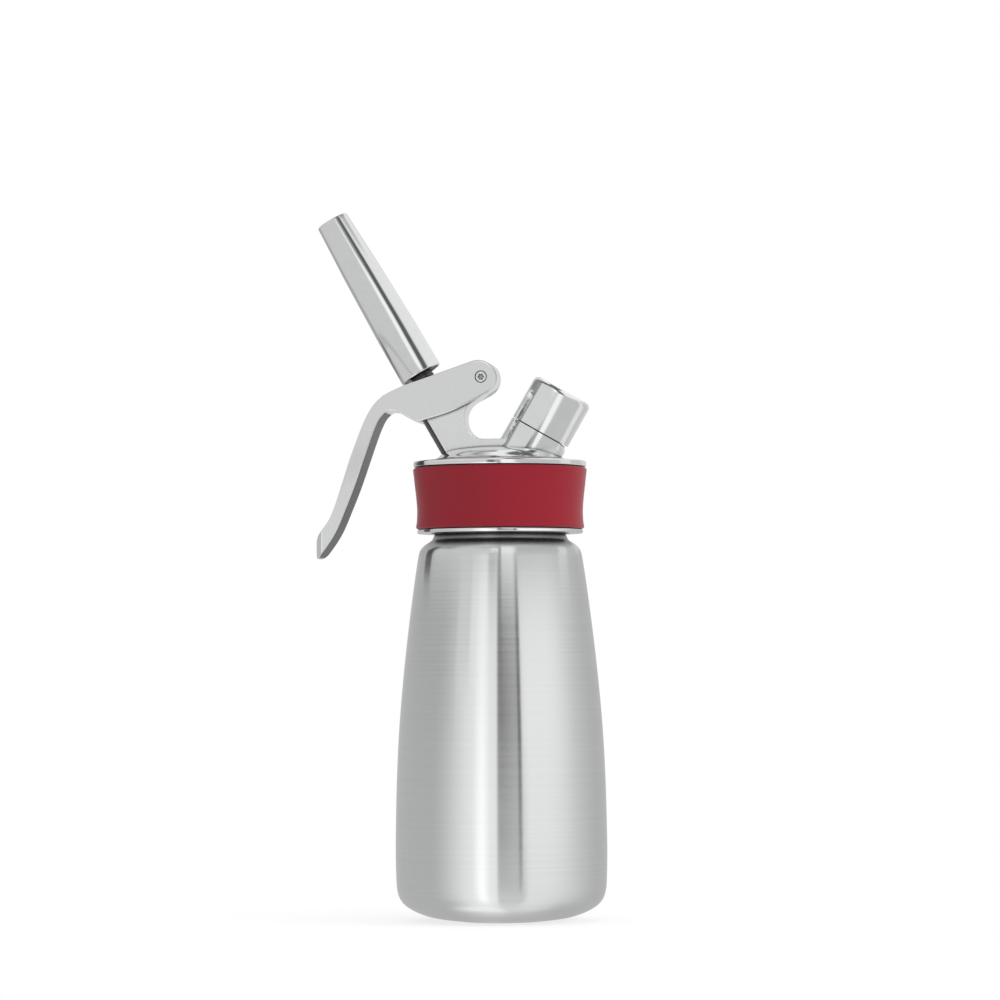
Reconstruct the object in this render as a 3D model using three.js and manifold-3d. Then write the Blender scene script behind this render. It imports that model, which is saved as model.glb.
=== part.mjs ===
// Whipped cream dispenser: a steel bottle closed by a screw-on head that carries a lever valve
// with a decorating nozzle on one side and a capped charger port on the other.
// Millimetres, +Z up. The origin is the centre of the bottle's flat base. The lever side is -X,
// the port side is +X, and the lever swings in the XZ plane.
import * as THREE from 'three';
import { mergeVertices } from 'three/addons/utils/BufferGeometryUtils.js';
import Module from 'manifold-3d';

const wasm = await Module();
wasm.setup();

// Clearances and overruns
const seatGap = 0.3; // between pieces that rest on each other
const screwGap = 0.2; // between screwed pieces, round the thread
const runGap = 0.15; // between a sliding piece and its guide
const pinGap = 0.08; // between the pivot and its holes
const cutOverrun = 1; // how far a cutting tool passes a face
const joinOverlap = 1; // how far joined parts of one casting run into each other
const weldDistance = 1e-4; // points closer than this are one point

// Bottle: one drawn steel shell, widest low down, drawn in to a screw neck
const bottleRadius = 38.1;
const bodyHeight = 137.2; // foot to the root of the neck
const bottleWall = 0.9;
const footRadius = 18;
const footCornerHeight = 9.4;
const footCornerPower = 1.5; // 2 is an ellipse, 1 a straight chamfer
const footCornerSteps = 7;
const insideCornerSteps = 4;
const neckRadius = 24.1;
const neckWall = 1.5;
const neckHeight = 20.8;
const neckLip = 0.5;
// Outline from the widest part up to the neck: share of the bottle's radius, share of its height
const bodyShares = [
  [0.998, 0.145], [1, 0.253], [0.993, 0.36], [0.98, 0.44], [0.955, 0.53], [0.92, 0.62],
  [0.878, 0.705], [0.832, 0.79], [0.796, 0.875], [0.779, 0.935], [0.758, 0.965], [0.717, 0.983],
  [0.672, 0.9945],
];
const bodySteps = 14;
const bottleSegments = 48;

// Head: skirt, groove for the grip and domed top, turned about the bottle's axis
const neckClearance = 0.9; // round the neck, where the threads are
const skirtWall = 3.4;
const skirtRise = 0.7; // shoulder of the bottle to the lower rim
const rimSetBack = 0.9; // inside the grip's foot
const rimHeight = 1.9;
const flangeSetBack = 0.5; // inside the grip's top
const flangeHeight = 2;
const flangeRise = 6.5; // lip of the neck to the flange's top
const plinthSetBack = 0.7; // inside the neck's radius
const plinthStep = 0.7;
const domeRise = 2.3; // flange to plinth
const domeCrown = 3; // plinth to the middle
const domeCrownShares = [[0.85, 0.22], [0.7, 0.46], [0.54, 0.7], [0.36, 0.92]];
const rimRounding = 0.5;
const headSegments = 48;

// Grip: a soft ring round the skirt, waisted below the middle
const gripTopThickness = 2.9;
const gripFootThickness = 2;
const gripWaistShares = [[0.12, 0.55], [0.3, 1], [0.5, 0.86], [0.72, 0.42], [0.88, 0.12]];
const gripWaist = 0.75; // how far the waist lies inside the line from foot to top
const gripRounding = 0.8;

// Head gasket
const headGasketWidth = 3.2;
const headGasketThickness = 1.7;
const headGasketTabLength = 2.6;
const headGasketTabWidth = 6;

// Valve axis: leans to the lever side and crosses the bottle's axis inside the neck
const valveTilt = THREE.MathUtils.degToRad(30);
const valveCrossingDepth = 11; // below the neck's lip
const valveBossRadius = 8.1;
const valveBore = 3.6;
const springPocketRadius = 4.4;
const springPocketDepth = 19;
const seatBossRadius = 7.5;
const seatLevel = 11.1; // along the valve axis, from where it crosses the bottle's axis
const seatChamfer = 1.5;

// Port axis: leans the other way
const portTilt = THREE.MathUtils.degToRad(30);
const portCrossingDepth = 8.3; // below the neck's lip
const portLevel = 29.4; // foot of the cap, along the port axis
const portStubRadius = 9.6;
const portStubHeight = 13.8;
const portBore = 4.8;
const portShoulderDepth = 4.3;
const carrierBore = 3.6;
const portBossRadius = 11.2; // flush with the cap

// Pivot of the lever
const pivotX = -6.2;
const pivotRise = 30.3; // above the flange
const pivotRadius = 2;
const lugRadius = 5.95;

// Post and web of the head casting, seen from the side
const postHalfThickness = 5.7;
const postChamfer = 0.9;
const postInset = 3; // the flat part of the post ends this far inside the round boss
const hookX = -4.7; // centre of the round gap behind the post
const hookRise = 15.6; // above the flange
const hookRadius = 7.3;
const webEndHalfWidth = 8.6; // in plan, where the web runs into the port's boss
const webEndX = 9.5;
const webTaperStartX = -12; // in plan, where the web begins to widen
const arcSteps = 14;

// Lever: a cast fork over the post, running out into the grip
const leverWidth = 16;
const leverForkGap = 12;
const leverWeb = 2.4;
const leverEarRadius = 6.1;
const leverSlope = THREE.MathUtils.degToRad(18.8);
const leverSwing = THREE.MathUtils.degToRad(10);
const leverChamfer = 0.45;
const leverTopRun = 27.4; // pivot to the knee, along x
const leverReach = 60.2; // pivot to the far side of the tip, along x
const leverDrop = 65.4; // pivot to the lowest point of the tip
const leverForkFloor = 10.8; // valve axis to the end of the fork's slot
const lugRoom = 0.5; // round the lug, between the ears
// Outer side of the knee and grip: shares of the reach and of the drop
const leverOuterShares = [
  [0.54, 0.077], [0.6, 0.111], [0.655, 0.168], [0.7, 0.245], [0.736, 0.328], [0.782, 0.442],
  [0.826, 0.57], [0.871, 0.697], [0.906, 0.775], [0.949, 0.833], [0.986, 0.877], [1.002, 0.925],
  [0.999, 0.965], [0.975, 0.997],
];
// Inner side of the grip, from the tip up to the chin in front of the post
const leverInnerShares = [
  [0.945, 0.968], [0.889, 0.898], [0.848, 0.83], [0.805, 0.73], [0.75, 0.598], [0.702, 0.465],
  [0.652, 0.334], [0.622, 0.263], [0.594, 0.215], [0.557, 0.185], [0.52, 0.183], [0.483, 0.194],
  [0.443, 0.216],
];
const leverChinShares = [0.384, 0.247];
const leverLowerShares = [[0.25, 0.211], [0.153, 0.179], [0.048, 0.131]];
const leverOuterSteps = 30;
const leverInnerSteps = 28;
const leverLowerSteps = 8;

// Pivot pin: a barrel with a screw in its front end
const barrelHeadInset = 0.2; // the ends lie this far inside the lever's sides
const screwHeadHeight = 1.6;
const screwShank = 1.2;
const screwSocketRadius = 1.1;
const screwSocketDepth = 0.9;
const screwReach = 9;

// Valve: hollow stem with its collar, seal and nut, sliding in the post
const stemRadius = 2.8;
const stemBore = 1.5;
const stemTopRise = 7; // above the nozzle's foot
const stemEndRadius = 2.1;
const stemEndLength = 7.8;
const stemEndTop = 12.4;
const collarFlangeRadius = 5.6;
const collarFlangeHeight = 2.2;
const collarNeckRadius = 4.2;
const collarStopGap = 0.5;
const stemPortRadius = 1;
const stemPortLevel = 16;
const stemPortSegments = 12;
const stemBoreFloor = 14;
const sealRadius = 6;
const sealThickness = 3;
const nutRadius = 5.5;
const nutHeight = 2.5;
const nutSides = 6;
const oRingLevel = 23.6;
const oRingThickness = 1.2;
const oRingGroove = 0.55; // depth
const oRingSides = 8;
const guideLength = 5;

// Valve spring
const springWire = 0.8;
const springCoils = 7;
const springStepsPerCoil = 8;
const springSides = 5;
const springMeanRadius = 3.62;

// Nozzle and the threaded ring in its foot
const nozzleLevel = 57.1; // foot of the nozzle, along the valve axis
const nozzleLength = 64.3;
const nozzleFootRadius = 7.35;
const nozzleTipRadius = 5.8;
const nozzleWall = 0.75;
const nozzleRounding = 0.5;
const threadRingInset = 0.5;
const threadRingHeight = 9;

// Charger port: pin, its carrier, gaskets and valve
const carrierHeadHeight = 2;
const carrierEnd = 12.5;
const carrierSpigotRadius = 2;
const carrierSpigotLength = 3.1;
const carrierGasBore = 1.2;
const pinRadius = 0.9;
const pinFoot = 20;
const pinLength = 11.5;
const pinPoint = 1.8;
const chargerGasketThickness = 1.6;
const chargerGasketHole = 1.5;
const checkValveWall = 0.8;

// Cap over the port
const capRadius = 11.2;
const capHeight = 16.3;
const capWall = 1.3;
const capTop = 2;
const capRounding = 1.4;
const capRoundingSteps = 4;

const smallSegments = 22;
const mediumSegments = 36;

// Radii and levels that follow from the sizes above
const skirtBore = neckRadius + neckClearance;
const skirtRadius = skirtBore + skirtWall;
const gripTopRadius = skirtRadius + seatGap + gripTopThickness;
const gripFootRadius = skirtRadius + seatGap + gripFootThickness;
const flangeRadius = gripTopRadius - flangeSetBack;
const rimRadius = gripFootRadius - rimSetBack;
const plinthRadius = neckRadius - plinthSetBack;
const neckTop = bodyHeight + neckHeight;
const skirtFoot = bodyHeight + skirtRise; // underside of the lower rim
const rimTop = skirtFoot + rimHeight;
const flangeTop = neckTop + flangeRise;
const flangeFoot = flangeTop - flangeHeight;
const plinthTop = flangeTop + domeRise + plinthStep;
const ceiling = neckTop + headGasketThickness + 2 * seatGap;
const valveCrossing = neckTop - valveCrossingDepth;
const portCrossing = neckTop - portCrossingDepth;
const pivotZ = flangeTop + pivotRise;
const hookZ = flangeTop + hookRise;
const sinValve = Math.sin(valveTilt);
const cosValve = Math.cos(valveTilt);
const sinPort = Math.sin(portTilt);
const cosPort = Math.cos(portTilt);

// A point of the XZ plane given across and along the valve's axis, or the port's
const valvePoint = (across, along) => [
  across * cosValve - along * sinValve,
  valveCrossing + across * sinValve + along * cosValve,
];
const portPoint = (across, along) => [
  across * cosPort + along * sinPort,
  portCrossing - across * sinPort + along * cosPort,
];
const pivotAcross = pivotX * cosValve + (pivotZ - valveCrossing) * sinValve;
const pivotAlong = -pivotX * sinValve + (pivotZ - valveCrossing) * cosValve;
const wedge = valveTilt - leverSlope;

// The lever's web bears on the rim of the stem's collar, nearest to the pivot
const webUndersideAt = (across) =>
  pivotAlong + (leverEarRadius - leverWeb) / Math.cos(wedge) + (pivotAcross - across) * Math.tan(wedge);
const collarTop = webUndersideAt(collarFlangeRadius) - seatGap;
const collarFoot = collarTop - collarFlangeHeight;
const contactArm = pivotAcross - collarFlangeRadius;
const valveStroke = contactArm * leverSwing;
const postTop = collarFoot - valveStroke - collarStopGap;
const pocketFloor = postTop - springPocketDepth;
const guideTop = pocketFloor + seatGap + guideLength;

// Geometry helpers

// Keeps only positions and merges them, with every face turned outwards
function closed(geometry) {
  geometry.deleteAttribute('normal');
  geometry.deleteAttribute('uv');
  const merged = mergeVertices(geometry, weldDistance);
  const position = merged.getAttribute('position');
  const index = merged.getIndex().array;
  const a = new THREE.Vector3();
  const b = new THREE.Vector3();
  const c = new THREE.Vector3();
  const kept = [];
  let volume = 0;
  for (let i = 0; i < index.length; i += 3) {
    if (index[i] === index[i + 1] || index[i + 1] === index[i + 2] || index[i] === index[i + 2]) continue;
    a.fromBufferAttribute(position, index[i]);
    b.fromBufferAttribute(position, index[i + 1]);
    c.fromBufferAttribute(position, index[i + 2]);
    volume += a.dot(b.cross(c));
    kept.push(index[i], index[i + 1], index[i + 2]);
  }
  if (volume < 0) kept.reverse();
  merged.setIndex(kept);
  return merged;
}

function toSolid(geometry) {
  const source = closed(geometry);
  return new wasm.Manifold(new wasm.Mesh({
    numProp: 3,
    vertProperties: Float32Array.from(source.getAttribute('position').array),
    triVerts: Uint32Array.from(source.getIndex().array),
  }));
}

function toGeometry(solid) {
  const mesh = solid.getMesh();
  const geometry = new THREE.BufferGeometry();
  const count = mesh.vertProperties.length / mesh.numProp;
  const positions = new Float32Array(count * 3);
  for (let i = 0; i < count; i += 1) {
    positions.set(mesh.vertProperties.subarray(i * mesh.numProp, i * mesh.numProp + 3), i * 3);
  }
  geometry.setAttribute('position', new THREE.BufferAttribute(positions, 3));
  geometry.setIndex(Array.from(mesh.triVerts));
  return geometry;
}

// Revolves [radius, height] points about Z. A ring's profile is closed on itself.
function revolve(points, segments, isRing = false) {
  const profile = points.map(([radius, height]) => new THREE.Vector2(radius, height));
  if (isRing) profile.push(profile[0].clone());
  return closed(new THREE.LatheGeometry(profile, segments).rotateX(Math.PI / 2));
}

// Extrudes a shape drawn in XZ, centred on the XZ plane, with chamfered edges
function plate(shape, thickness, chamfer, curveSegments = arcSteps) {
  const geometry = new THREE.ExtrudeGeometry(shape, {
    depth: thickness - 2 * chamfer,
    bevelEnabled: chamfer > 0,
    bevelThickness: chamfer,
    bevelSize: chamfer,
    bevelOffset: -chamfer,
    bevelSegments: 1,
    curveSegments,
  });
  return geometry.translate(0, 0, chamfer - thickness / 2).rotateX(Math.PI / 2);
}

// A round bar along an axis through (0, 0), from one height to another
function bar(radius, from, to, segments = smallSegments) {
  return revolve([[0, from], [radius, from], [radius, to], [0, to]], segments);
}

const alongValve = (geometry) => geometry.rotateY(-valveTilt).translate(0, 0, valveCrossing);
const alongPort = (geometry) => geometry.rotateY(portTilt).translate(0, 0, portCrossing);

function smooth(points, steps) {
  return new THREE.SplineCurve(points.map(([x, z]) => new THREE.Vector2(x, z))).getPoints(steps);
}

// Materials
const finish = (color, roughness, metalness) =>
  new THREE.MeshStandardMaterial({ color, roughness, metalness });
const brushedSteel = () => finish(0xc2c3c4, 0.38, 1);
const polishedSteel = () => finish(0xd2d4d6, 0.14, 1);
const satinSteel = () => finish(0xcacbcc, 0.3, 1);
const redSilicone = () => finish(0x8e2a32, 0.6, 0);
const clearSilicone = () => finish(0xd9d6cf, 0.55, 0);
const blackRubber = () => finish(0x202122, 0.7, 0);
const guidePlastic = () => finish(0xe6e4de, 0.5, 0);
const springSteel = () => finish(0xa8aaad, 0.35, 1);

const group = new THREE.Group();
function addNode(name, geometry, material) {
  const mesh = new THREE.Mesh(geometry, material);
  mesh.name = name;
  group.add(mesh);
  return mesh;
}

// Bottle
function footCorner(radius, foot, height, steps) {
  const points = [];
  for (let i = 0; i <= steps; i += 1) {
    const angle = (i / steps) * (Math.PI / 2);
    points.push([
      foot + (radius - foot) * Math.sin(angle) ** (2 / footCornerPower),
      height * (1 - Math.cos(angle) ** (2 / footCornerPower)),
    ]);
  }
  return points;
}

function bottle() {
  const lowRadius = bottleRadius * bodyShares[0][0];
  const outer = footCorner(lowRadius, footRadius, footCornerHeight, footCornerSteps);
  const body = bodyShares.map(([radiusShare, heightShare]) => [
    bottleRadius * radiusShare, bodyHeight * heightShare,
  ]);
  const side = smooth([...body, [neckRadius, bodyHeight]], bodySteps).map((p) => [p.x, p.y]);
  const outside = [
    [0, 0], ...outer, ...side,
    [neckRadius, neckTop - neckLip], [neckRadius - neckLip, neckTop],
  ];
  const neckInside = neckRadius - neckWall;
  const inside = side
    .filter(([radius], i) => radius - bottleWall > neckInside && i % 2 === 0)
    .map(([radius, height]) => [radius - bottleWall, height - bottleWall / 2]);
  const floor = footCorner(
    lowRadius - bottleWall, footRadius - bottleWall / 2, footCornerHeight, insideCornerSteps,
  ).map(([radius, height]) => [radius, height + bottleWall]);
  const profile = [
    ...outside,
    [neckInside + neckLip, neckTop], [neckInside, neckTop - neckLip], [neckInside, bodyHeight - bottleWall],
    ...inside.reverse(), ...floor.reverse(), [0, bottleWall],
  ];
  return revolve(profile, bottleSegments);
}

// Head casting
function headBell() {
  const crown = domeCrownShares.map(([radiusShare, riseShare]) => [
    plinthRadius * radiusShare, plinthTop + domeCrown * riseShare,
  ]);
  return revolve([
    [0, ceiling], [skirtBore, ceiling], [skirtBore, skirtFoot],
    [rimRadius - rimRounding, skirtFoot], [rimRadius, skirtFoot + rimRounding],
    [rimRadius, rimTop - rimRounding], [rimRadius - rimRounding, rimTop],
    [skirtRadius, rimTop], [skirtRadius, flangeFoot],
    [flangeRadius - rimRounding, flangeFoot], [flangeRadius, flangeFoot + rimRounding],
    [flangeRadius, flangeTop - rimRounding], [flangeRadius - rimRounding, flangeTop],
    [plinthRadius, plinthTop - plinthStep], [plinthRadius, plinthTop],
    ...crown, [0, plinthTop + domeCrown],
  ], headSegments);
}

// Side view of the post, the lug round the pivot, the round gap behind it and the web. The
// flat of the post ends inside the round valve boss, by the inset.
function headOutline(inset) {
  const shape = new THREE.Shape();
  const left = inset - valveBossRadius;
  const lowLeft = valvePoint(left, 0);
  const buriedLeft = lowLeft[0] - ((flangeTop - lowLeft[1]) * sinValve) / cosValve;
  const lugStart = Math.asin((postTop - pivotAlong) / lugRadius);
  // The straight flank touches the lug and the round gap behind the post
  const dx = pivotX - hookX;
  const dz = pivotZ - hookZ;
  const flank = Math.acos((lugRadius + hookRadius) / Math.hypot(dx, dz)) - Math.atan2(dx, dz);
  const saddle = hookZ - hookRadius;
  const bossTop = portLevel - seatGap;
  const saddleEnd = (portCrossing + bossTop * cosPort - saddle) / sinPort;
  const rightEnd = (plinthRadius - bossTop * sinPort) / cosPort;
  shape.moveTo(buriedLeft, flangeTop);
  shape.lineTo(...valvePoint(left, postTop));
  shape.absarc(pivotX, pivotZ, lugRadius, Math.PI - lugStart + valveTilt, flank - Math.PI / 2, true);
  shape.absarc(hookX, hookZ, hookRadius, Math.PI / 2 + flank, Math.PI * 1.5, false);
  shape.lineTo(...portPoint(saddleEnd, bossTop));
  shape.lineTo(...portPoint(rightEnd, bossTop));
  shape.lineTo(plinthRadius, flangeTop);
  return shape;
}

// Plan of the web: as narrow as the post at one end, nearly as wide as the port's boss at the other
function webPlan() {
  const shape = new THREE.Shape();
  const lean = Math.asin((webEndHalfWidth - postHalfThickness) / (webEndX - webTaperStartX));
  shape.absarc(webEndX, 0, webEndHalfWidth, -Math.PI / 2 - lean, Math.PI / 2 + lean, false);
  shape.absarc(webTaperStartX, 0, postHalfThickness, Math.PI / 2 + lean, Math.PI * 1.5 - lean, false);
  return new THREE.ExtrudeGeometry(shape, {
    depth: hookZ - flangeTop, bevelEnabled: false, curveSegments: arcSteps,
  }).translate(0, 0, flangeTop);
}

function headCasting() {
  const post = toSolid(plate(headOutline(postInset), 2 * postHalfThickness, postChamfer));
  const web = toSolid(plate(headOutline(postInset), 2 * webEndHalfWidth, 0)).intersect(toSolid(webPlan()));
  const bossFoot = (ceiling - valveCrossing) / cosValve + joinOverlap;
  const valveBoss = toSolid(alongValve(bar(valveBossRadius, bossFoot, postTop, mediumSegments)))
    .intersect(toSolid(plate(headOutline(-cutOverrun), 2 * postHalfThickness, 0)));
  const seatBoss = bar(seatBossRadius, seatLevel, bossFoot + joinOverlap, mediumSegments);
  const valveSide = valveBoss.add(toSolid(alongValve(seatBoss)));
  // The port's boss is flush with the cap, and cut upright where it would overhang the plinth
  const bossTop = portLevel - seatGap;
  const uprightCut = bar(plinthRadius, flangeTop - plinthStep, postTop + valveCrossing, headSegments);
  const bossBar = bar(portBossRadius, portLevel - portBossRadius, bossTop, mediumSegments);
  const portBoss = toSolid(alongPort(bossBar)).intersect(toSolid(uprightCut));
  const stub = bar(portStubRadius, bossTop - joinOverlap, portLevel + portStubHeight, mediumSegments);
  const portSide = portBoss.add(toSolid(alongPort(stub)));
  let casting = toSolid(headBell()).add(post).add(web).add(valveSide).add(portSide);

  const valveCut = revolve([
    [0, seatLevel - cutOverrun], [valveBore + seatChamfer + cutOverrun, seatLevel - cutOverrun],
    [valveBore, seatLevel + seatChamfer], [valveBore, pocketFloor],
    [springPocketRadius, pocketFloor], [springPocketRadius, postTop + cutOverrun],
    [0, postTop + cutOverrun],
  ], smallSegments);
  const shoulder = portLevel - portShoulderDepth;
  const ceilingAlongPort = (ceiling - portCrossing) / cosPort;
  const portCut = revolve([
    [0, ceilingAlongPort - carrierBore], [carrierBore, ceilingAlongPort - carrierBore],
    [carrierBore, shoulder], [portBore, shoulder],
    [portBore, portLevel + portStubHeight + cutOverrun],
    [0, portLevel + portStubHeight + cutOverrun],
  ], smallSegments);
  const pivotHole = bar(pivotRadius + pinGap, -leverWidth, leverWidth)
    .rotateX(Math.PI / 2).translate(pivotX, 0, pivotZ);
  casting = casting.subtract(toSolid(alongValve(valveCut)));
  casting = casting.subtract(toSolid(alongPort(portCut)));
  return toGeometry(casting.subtract(toSolid(pivotHole)));
}

// Grip and head gasket
function gripCollar() {
  const inside = skirtRadius + seatGap;
  const foot = rimTop + seatGap;
  const top = flangeFoot - seatGap;
  const waist = gripWaistShares.map(([heightShare, depthShare]) => [
    gripFootRadius + (gripTopRadius - gripFootRadius) * heightShare - gripWaist * depthShare,
    foot + (top - foot) * heightShare,
  ]);
  return revolve([
    [inside, foot], [gripFootRadius - gripRounding, foot], [gripFootRadius, foot + gripRounding],
    ...waist, [gripTopRadius, top - gripRounding], [gripTopRadius - gripRounding, top], [inside, top],
  ], headSegments, true);
}

function headGasket() {
  const outside = skirtBore - seatGap;
  const foot = neckTop + seatGap;
  const top = foot + headGasketThickness;
  const inside = outside - headGasketWidth;
  const ring = toSolid(revolve(
    [[inside, foot], [outside, foot], [outside, top], [inside, top]], headSegments, true,
  ));
  const tabLength = headGasketTabLength + headGasketWidth / 2;
  const tab = new THREE.BoxGeometry(headGasketTabWidth, tabLength, headGasketThickness);
  tab.translate(0, inside - headGasketTabLength / 2 + headGasketWidth / 4, foot + headGasketThickness / 2);
  return toGeometry(ring.add(toSolid(tab.clone())).add(toSolid(tab.rotateZ(Math.PI))));
}

// Lever
function leverOutline() {
  const shape = new THREE.Shape();
  const at = ([reachShare, dropShare]) => [pivotX - leverReach * reachShare, pivotZ - leverDrop * dropShare];
  const topStart = Math.PI / 2 + leverSlope;
  const tangentX = pivotX + leverEarRadius * Math.cos(topStart);
  const tangentZ = pivotZ + leverEarRadius * Math.sin(topStart);
  const kneeX = pivotX - leverTopRun;
  const knee = [kneeX, tangentZ - (tangentX - kneeX) * Math.tan(leverSlope)];
  const outer = smooth([knee, ...leverOuterShares.map(at)], leverOuterSteps);
  const tip = outer[outer.length - 1].toArray();
  const inner = smooth([tip, ...leverInnerShares.map(at), at(leverChinShares)], leverInnerSteps);
  const lowEar = leverLowerShares.map(at);
  const lower = smooth([at(leverChinShares), ...lowEar], leverLowerSteps);
  const [endX, endZ] = lowEar[lowEar.length - 1];
  shape.moveTo(tangentX, tangentZ);
  outer.forEach((p) => shape.lineTo(p.x, p.y));
  inner.slice(1).forEach((p) => shape.lineTo(p.x, p.y));
  lower.slice(1).forEach((p) => shape.lineTo(p.x, p.y));
  // The lower edge runs on straight until it touches the ear's round end
  const away = Math.hypot(endX - pivotX, endZ - pivotZ);
  const earStart = Math.atan2(endZ - pivotZ, endX - pivotX) + Math.acos(leverEarRadius / away);
  shape.absarc(pivotX, pivotZ, leverEarRadius, earStart, topStart, false);
  return shape;
}

// The slot between the ears: open below, and round the lug at the pivot
function forkSlot() {
  const shape = new THREE.Shape();
  const openBelow = pivotAlong - leverReach;
  shape.moveTo(...valvePoint(-leverForkFloor, webUndersideAt(-leverForkFloor)));
  shape.lineTo(...valvePoint(-leverForkFloor, openBelow));
  shape.lineTo(...valvePoint(pivotAcross, openBelow));
  shape.lineTo(...valvePoint(pivotAcross, webUndersideAt(pivotAcross)));
  const roundLug = bar(lugRadius + lugRoom, -leverForkGap / 2, leverForkGap / 2, mediumSegments)
    .rotateX(Math.PI / 2).translate(pivotX, 0, pivotZ);
  return toSolid(plate(shape, leverForkGap, 0)).add(toSolid(roundLug));
}

function lever() {
  const body = toSolid(plate(leverOutline(), leverWidth, leverChamfer));
  const pinHole = bar(pivotRadius + pinGap, -leverWidth, leverWidth)
    .rotateX(Math.PI / 2).translate(pivotX, 0, pivotZ);
  // The web swings across the stem, so its hole is long on the pivot's side
  const webMiddle = webUndersideAt(0) + leverWeb / 2;
  const holeShift = leverSwing * (webMiddle - pivotAlong);
  const holeRadius = collarNeckRadius + 2 * seatGap;
  const hole = new THREE.Shape();
  hole.absarc(0, 0, holeRadius, Math.PI / 2, Math.PI * 1.5, false);
  hole.absarc(holeShift, 0, holeRadius, -Math.PI / 2, Math.PI / 2, false);
  const holeDepth = 3 * leverWeb;
  const holeCut = new THREE.ExtrudeGeometry(hole, {
    depth: holeDepth, bevelEnabled: false, curveSegments: arcSteps,
  }).translate(0, 0, webMiddle - holeDepth / 2);
  const cut = body.subtract(forkSlot()).subtract(toSolid(pinHole));
  return toGeometry(cut.subtract(toSolid(alongValve(holeCut))));
}

// Pivot pin
function pivotBarrel() {
  const back = leverWidth / 2 - barrelHeadInset;
  const front = -leverWidth / 2 + barrelHeadInset + screwHeadHeight + seatGap;
  const barrel = toSolid(bar(pivotRadius, front, back));
  const hole = toSolid(bar(screwShank + screwGap, front - cutOverrun, front + screwReach));
  return toGeometry(barrel.subtract(hole)).rotateX(-Math.PI / 2).translate(pivotX, 0, pivotZ);
}

function pivotScrew() {
  const front = -leverWidth / 2 + barrelHeadInset;
  const screw = toSolid(revolve([
    [0, front], [pivotRadius, front], [pivotRadius, front + screwHeadHeight],
    [screwShank, front + screwHeadHeight], [screwShank, front + screwReach], [0, front + screwReach],
  ], smallSegments));
  const socket = toSolid(bar(screwSocketRadius, front - cutOverrun, front + screwSocketDepth, nutSides));
  return toGeometry(screw.subtract(socket)).rotateX(-Math.PI / 2).translate(pivotX, 0, pivotZ);
}

// Valve
const stemTop = nozzleLevel + stemTopRise;

function valveStem() {
  const grooveRadius = stemRadius - oRingGroove;
  const grooveHalf = oRingThickness / 2 + runGap;
  const stem = toSolid(revolve([
    [0, stemEndTop - stemEndLength], [stemEndRadius, stemEndTop - stemEndLength],
    [stemEndRadius, stemEndTop], [stemRadius, stemEndTop],
    [stemRadius, oRingLevel - grooveHalf], [grooveRadius, oRingLevel - grooveHalf],
    [grooveRadius, oRingLevel + grooveHalf], [stemRadius, oRingLevel + grooveHalf],
    [stemRadius, stemTop], [0, stemTop],
  ], smallSegments));
  const bore = toSolid(bar(stemBore, stemBoreFloor, stemTop + cutOverrun));
  const port = bar(stemPortRadius, -stemRadius - cutOverrun, stemRadius + cutOverrun, stemPortSegments)
    .rotateX(Math.PI / 2).translate(0, 0, stemPortLevel);
  return alongValve(toGeometry(stem.subtract(bore).subtract(toSolid(port))));
}

function stemCollar() {
  const inside = stemRadius + runGap;
  return alongValve(revolve([
    [inside, collarFoot], [collarFlangeRadius, collarFoot], [collarFlangeRadius, collarTop],
    [collarNeckRadius, collarTop], [collarNeckRadius, stemTop], [inside, stemTop],
  ], smallSegments, true));
}

function valveSeal() {
  const inside = stemEndRadius + seatGap;
  const top = seatLevel - seatGap;
  const noseTop = stemEndTop - seatGap;
  const noseRadius = valveBore - screwGap;
  return alongValve(revolve([
    [inside, top - sealThickness], [sealRadius, top - sealThickness], [sealRadius, top],
    [noseRadius + noseTop - top, top], [noseRadius, noseTop], [inside, noseTop],
  ], smallSegments, true));
}

function sealNut() {
  const top = seatLevel - sealThickness - 2 * seatGap;
  const nut = toSolid(bar(nutRadius, top - nutHeight, top, nutSides));
  const hole = toSolid(bar(stemEndRadius + screwGap, top - nutHeight - cutOverrun, top + cutOverrun));
  return alongValve(toGeometry(nut.subtract(hole)));
}

function stemORing() {
  const ringRadius = (stemRadius - oRingGroove + valveBore) / 2;
  const ring = new THREE.TorusGeometry(ringRadius, oRingThickness / 2, oRingSides, smallSegments);
  return alongValve(closed(ring.translate(0, 0, oRingLevel)));
}

function guideBush() {
  const inside = stemRadius + runGap;
  const outside = springPocketRadius - screwGap;
  const foot = pocketFloor + seatGap;
  return alongValve(revolve([
    [inside, foot], [outside, foot], [outside, guideTop], [inside, guideTop],
  ], smallSegments, true));
}

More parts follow.
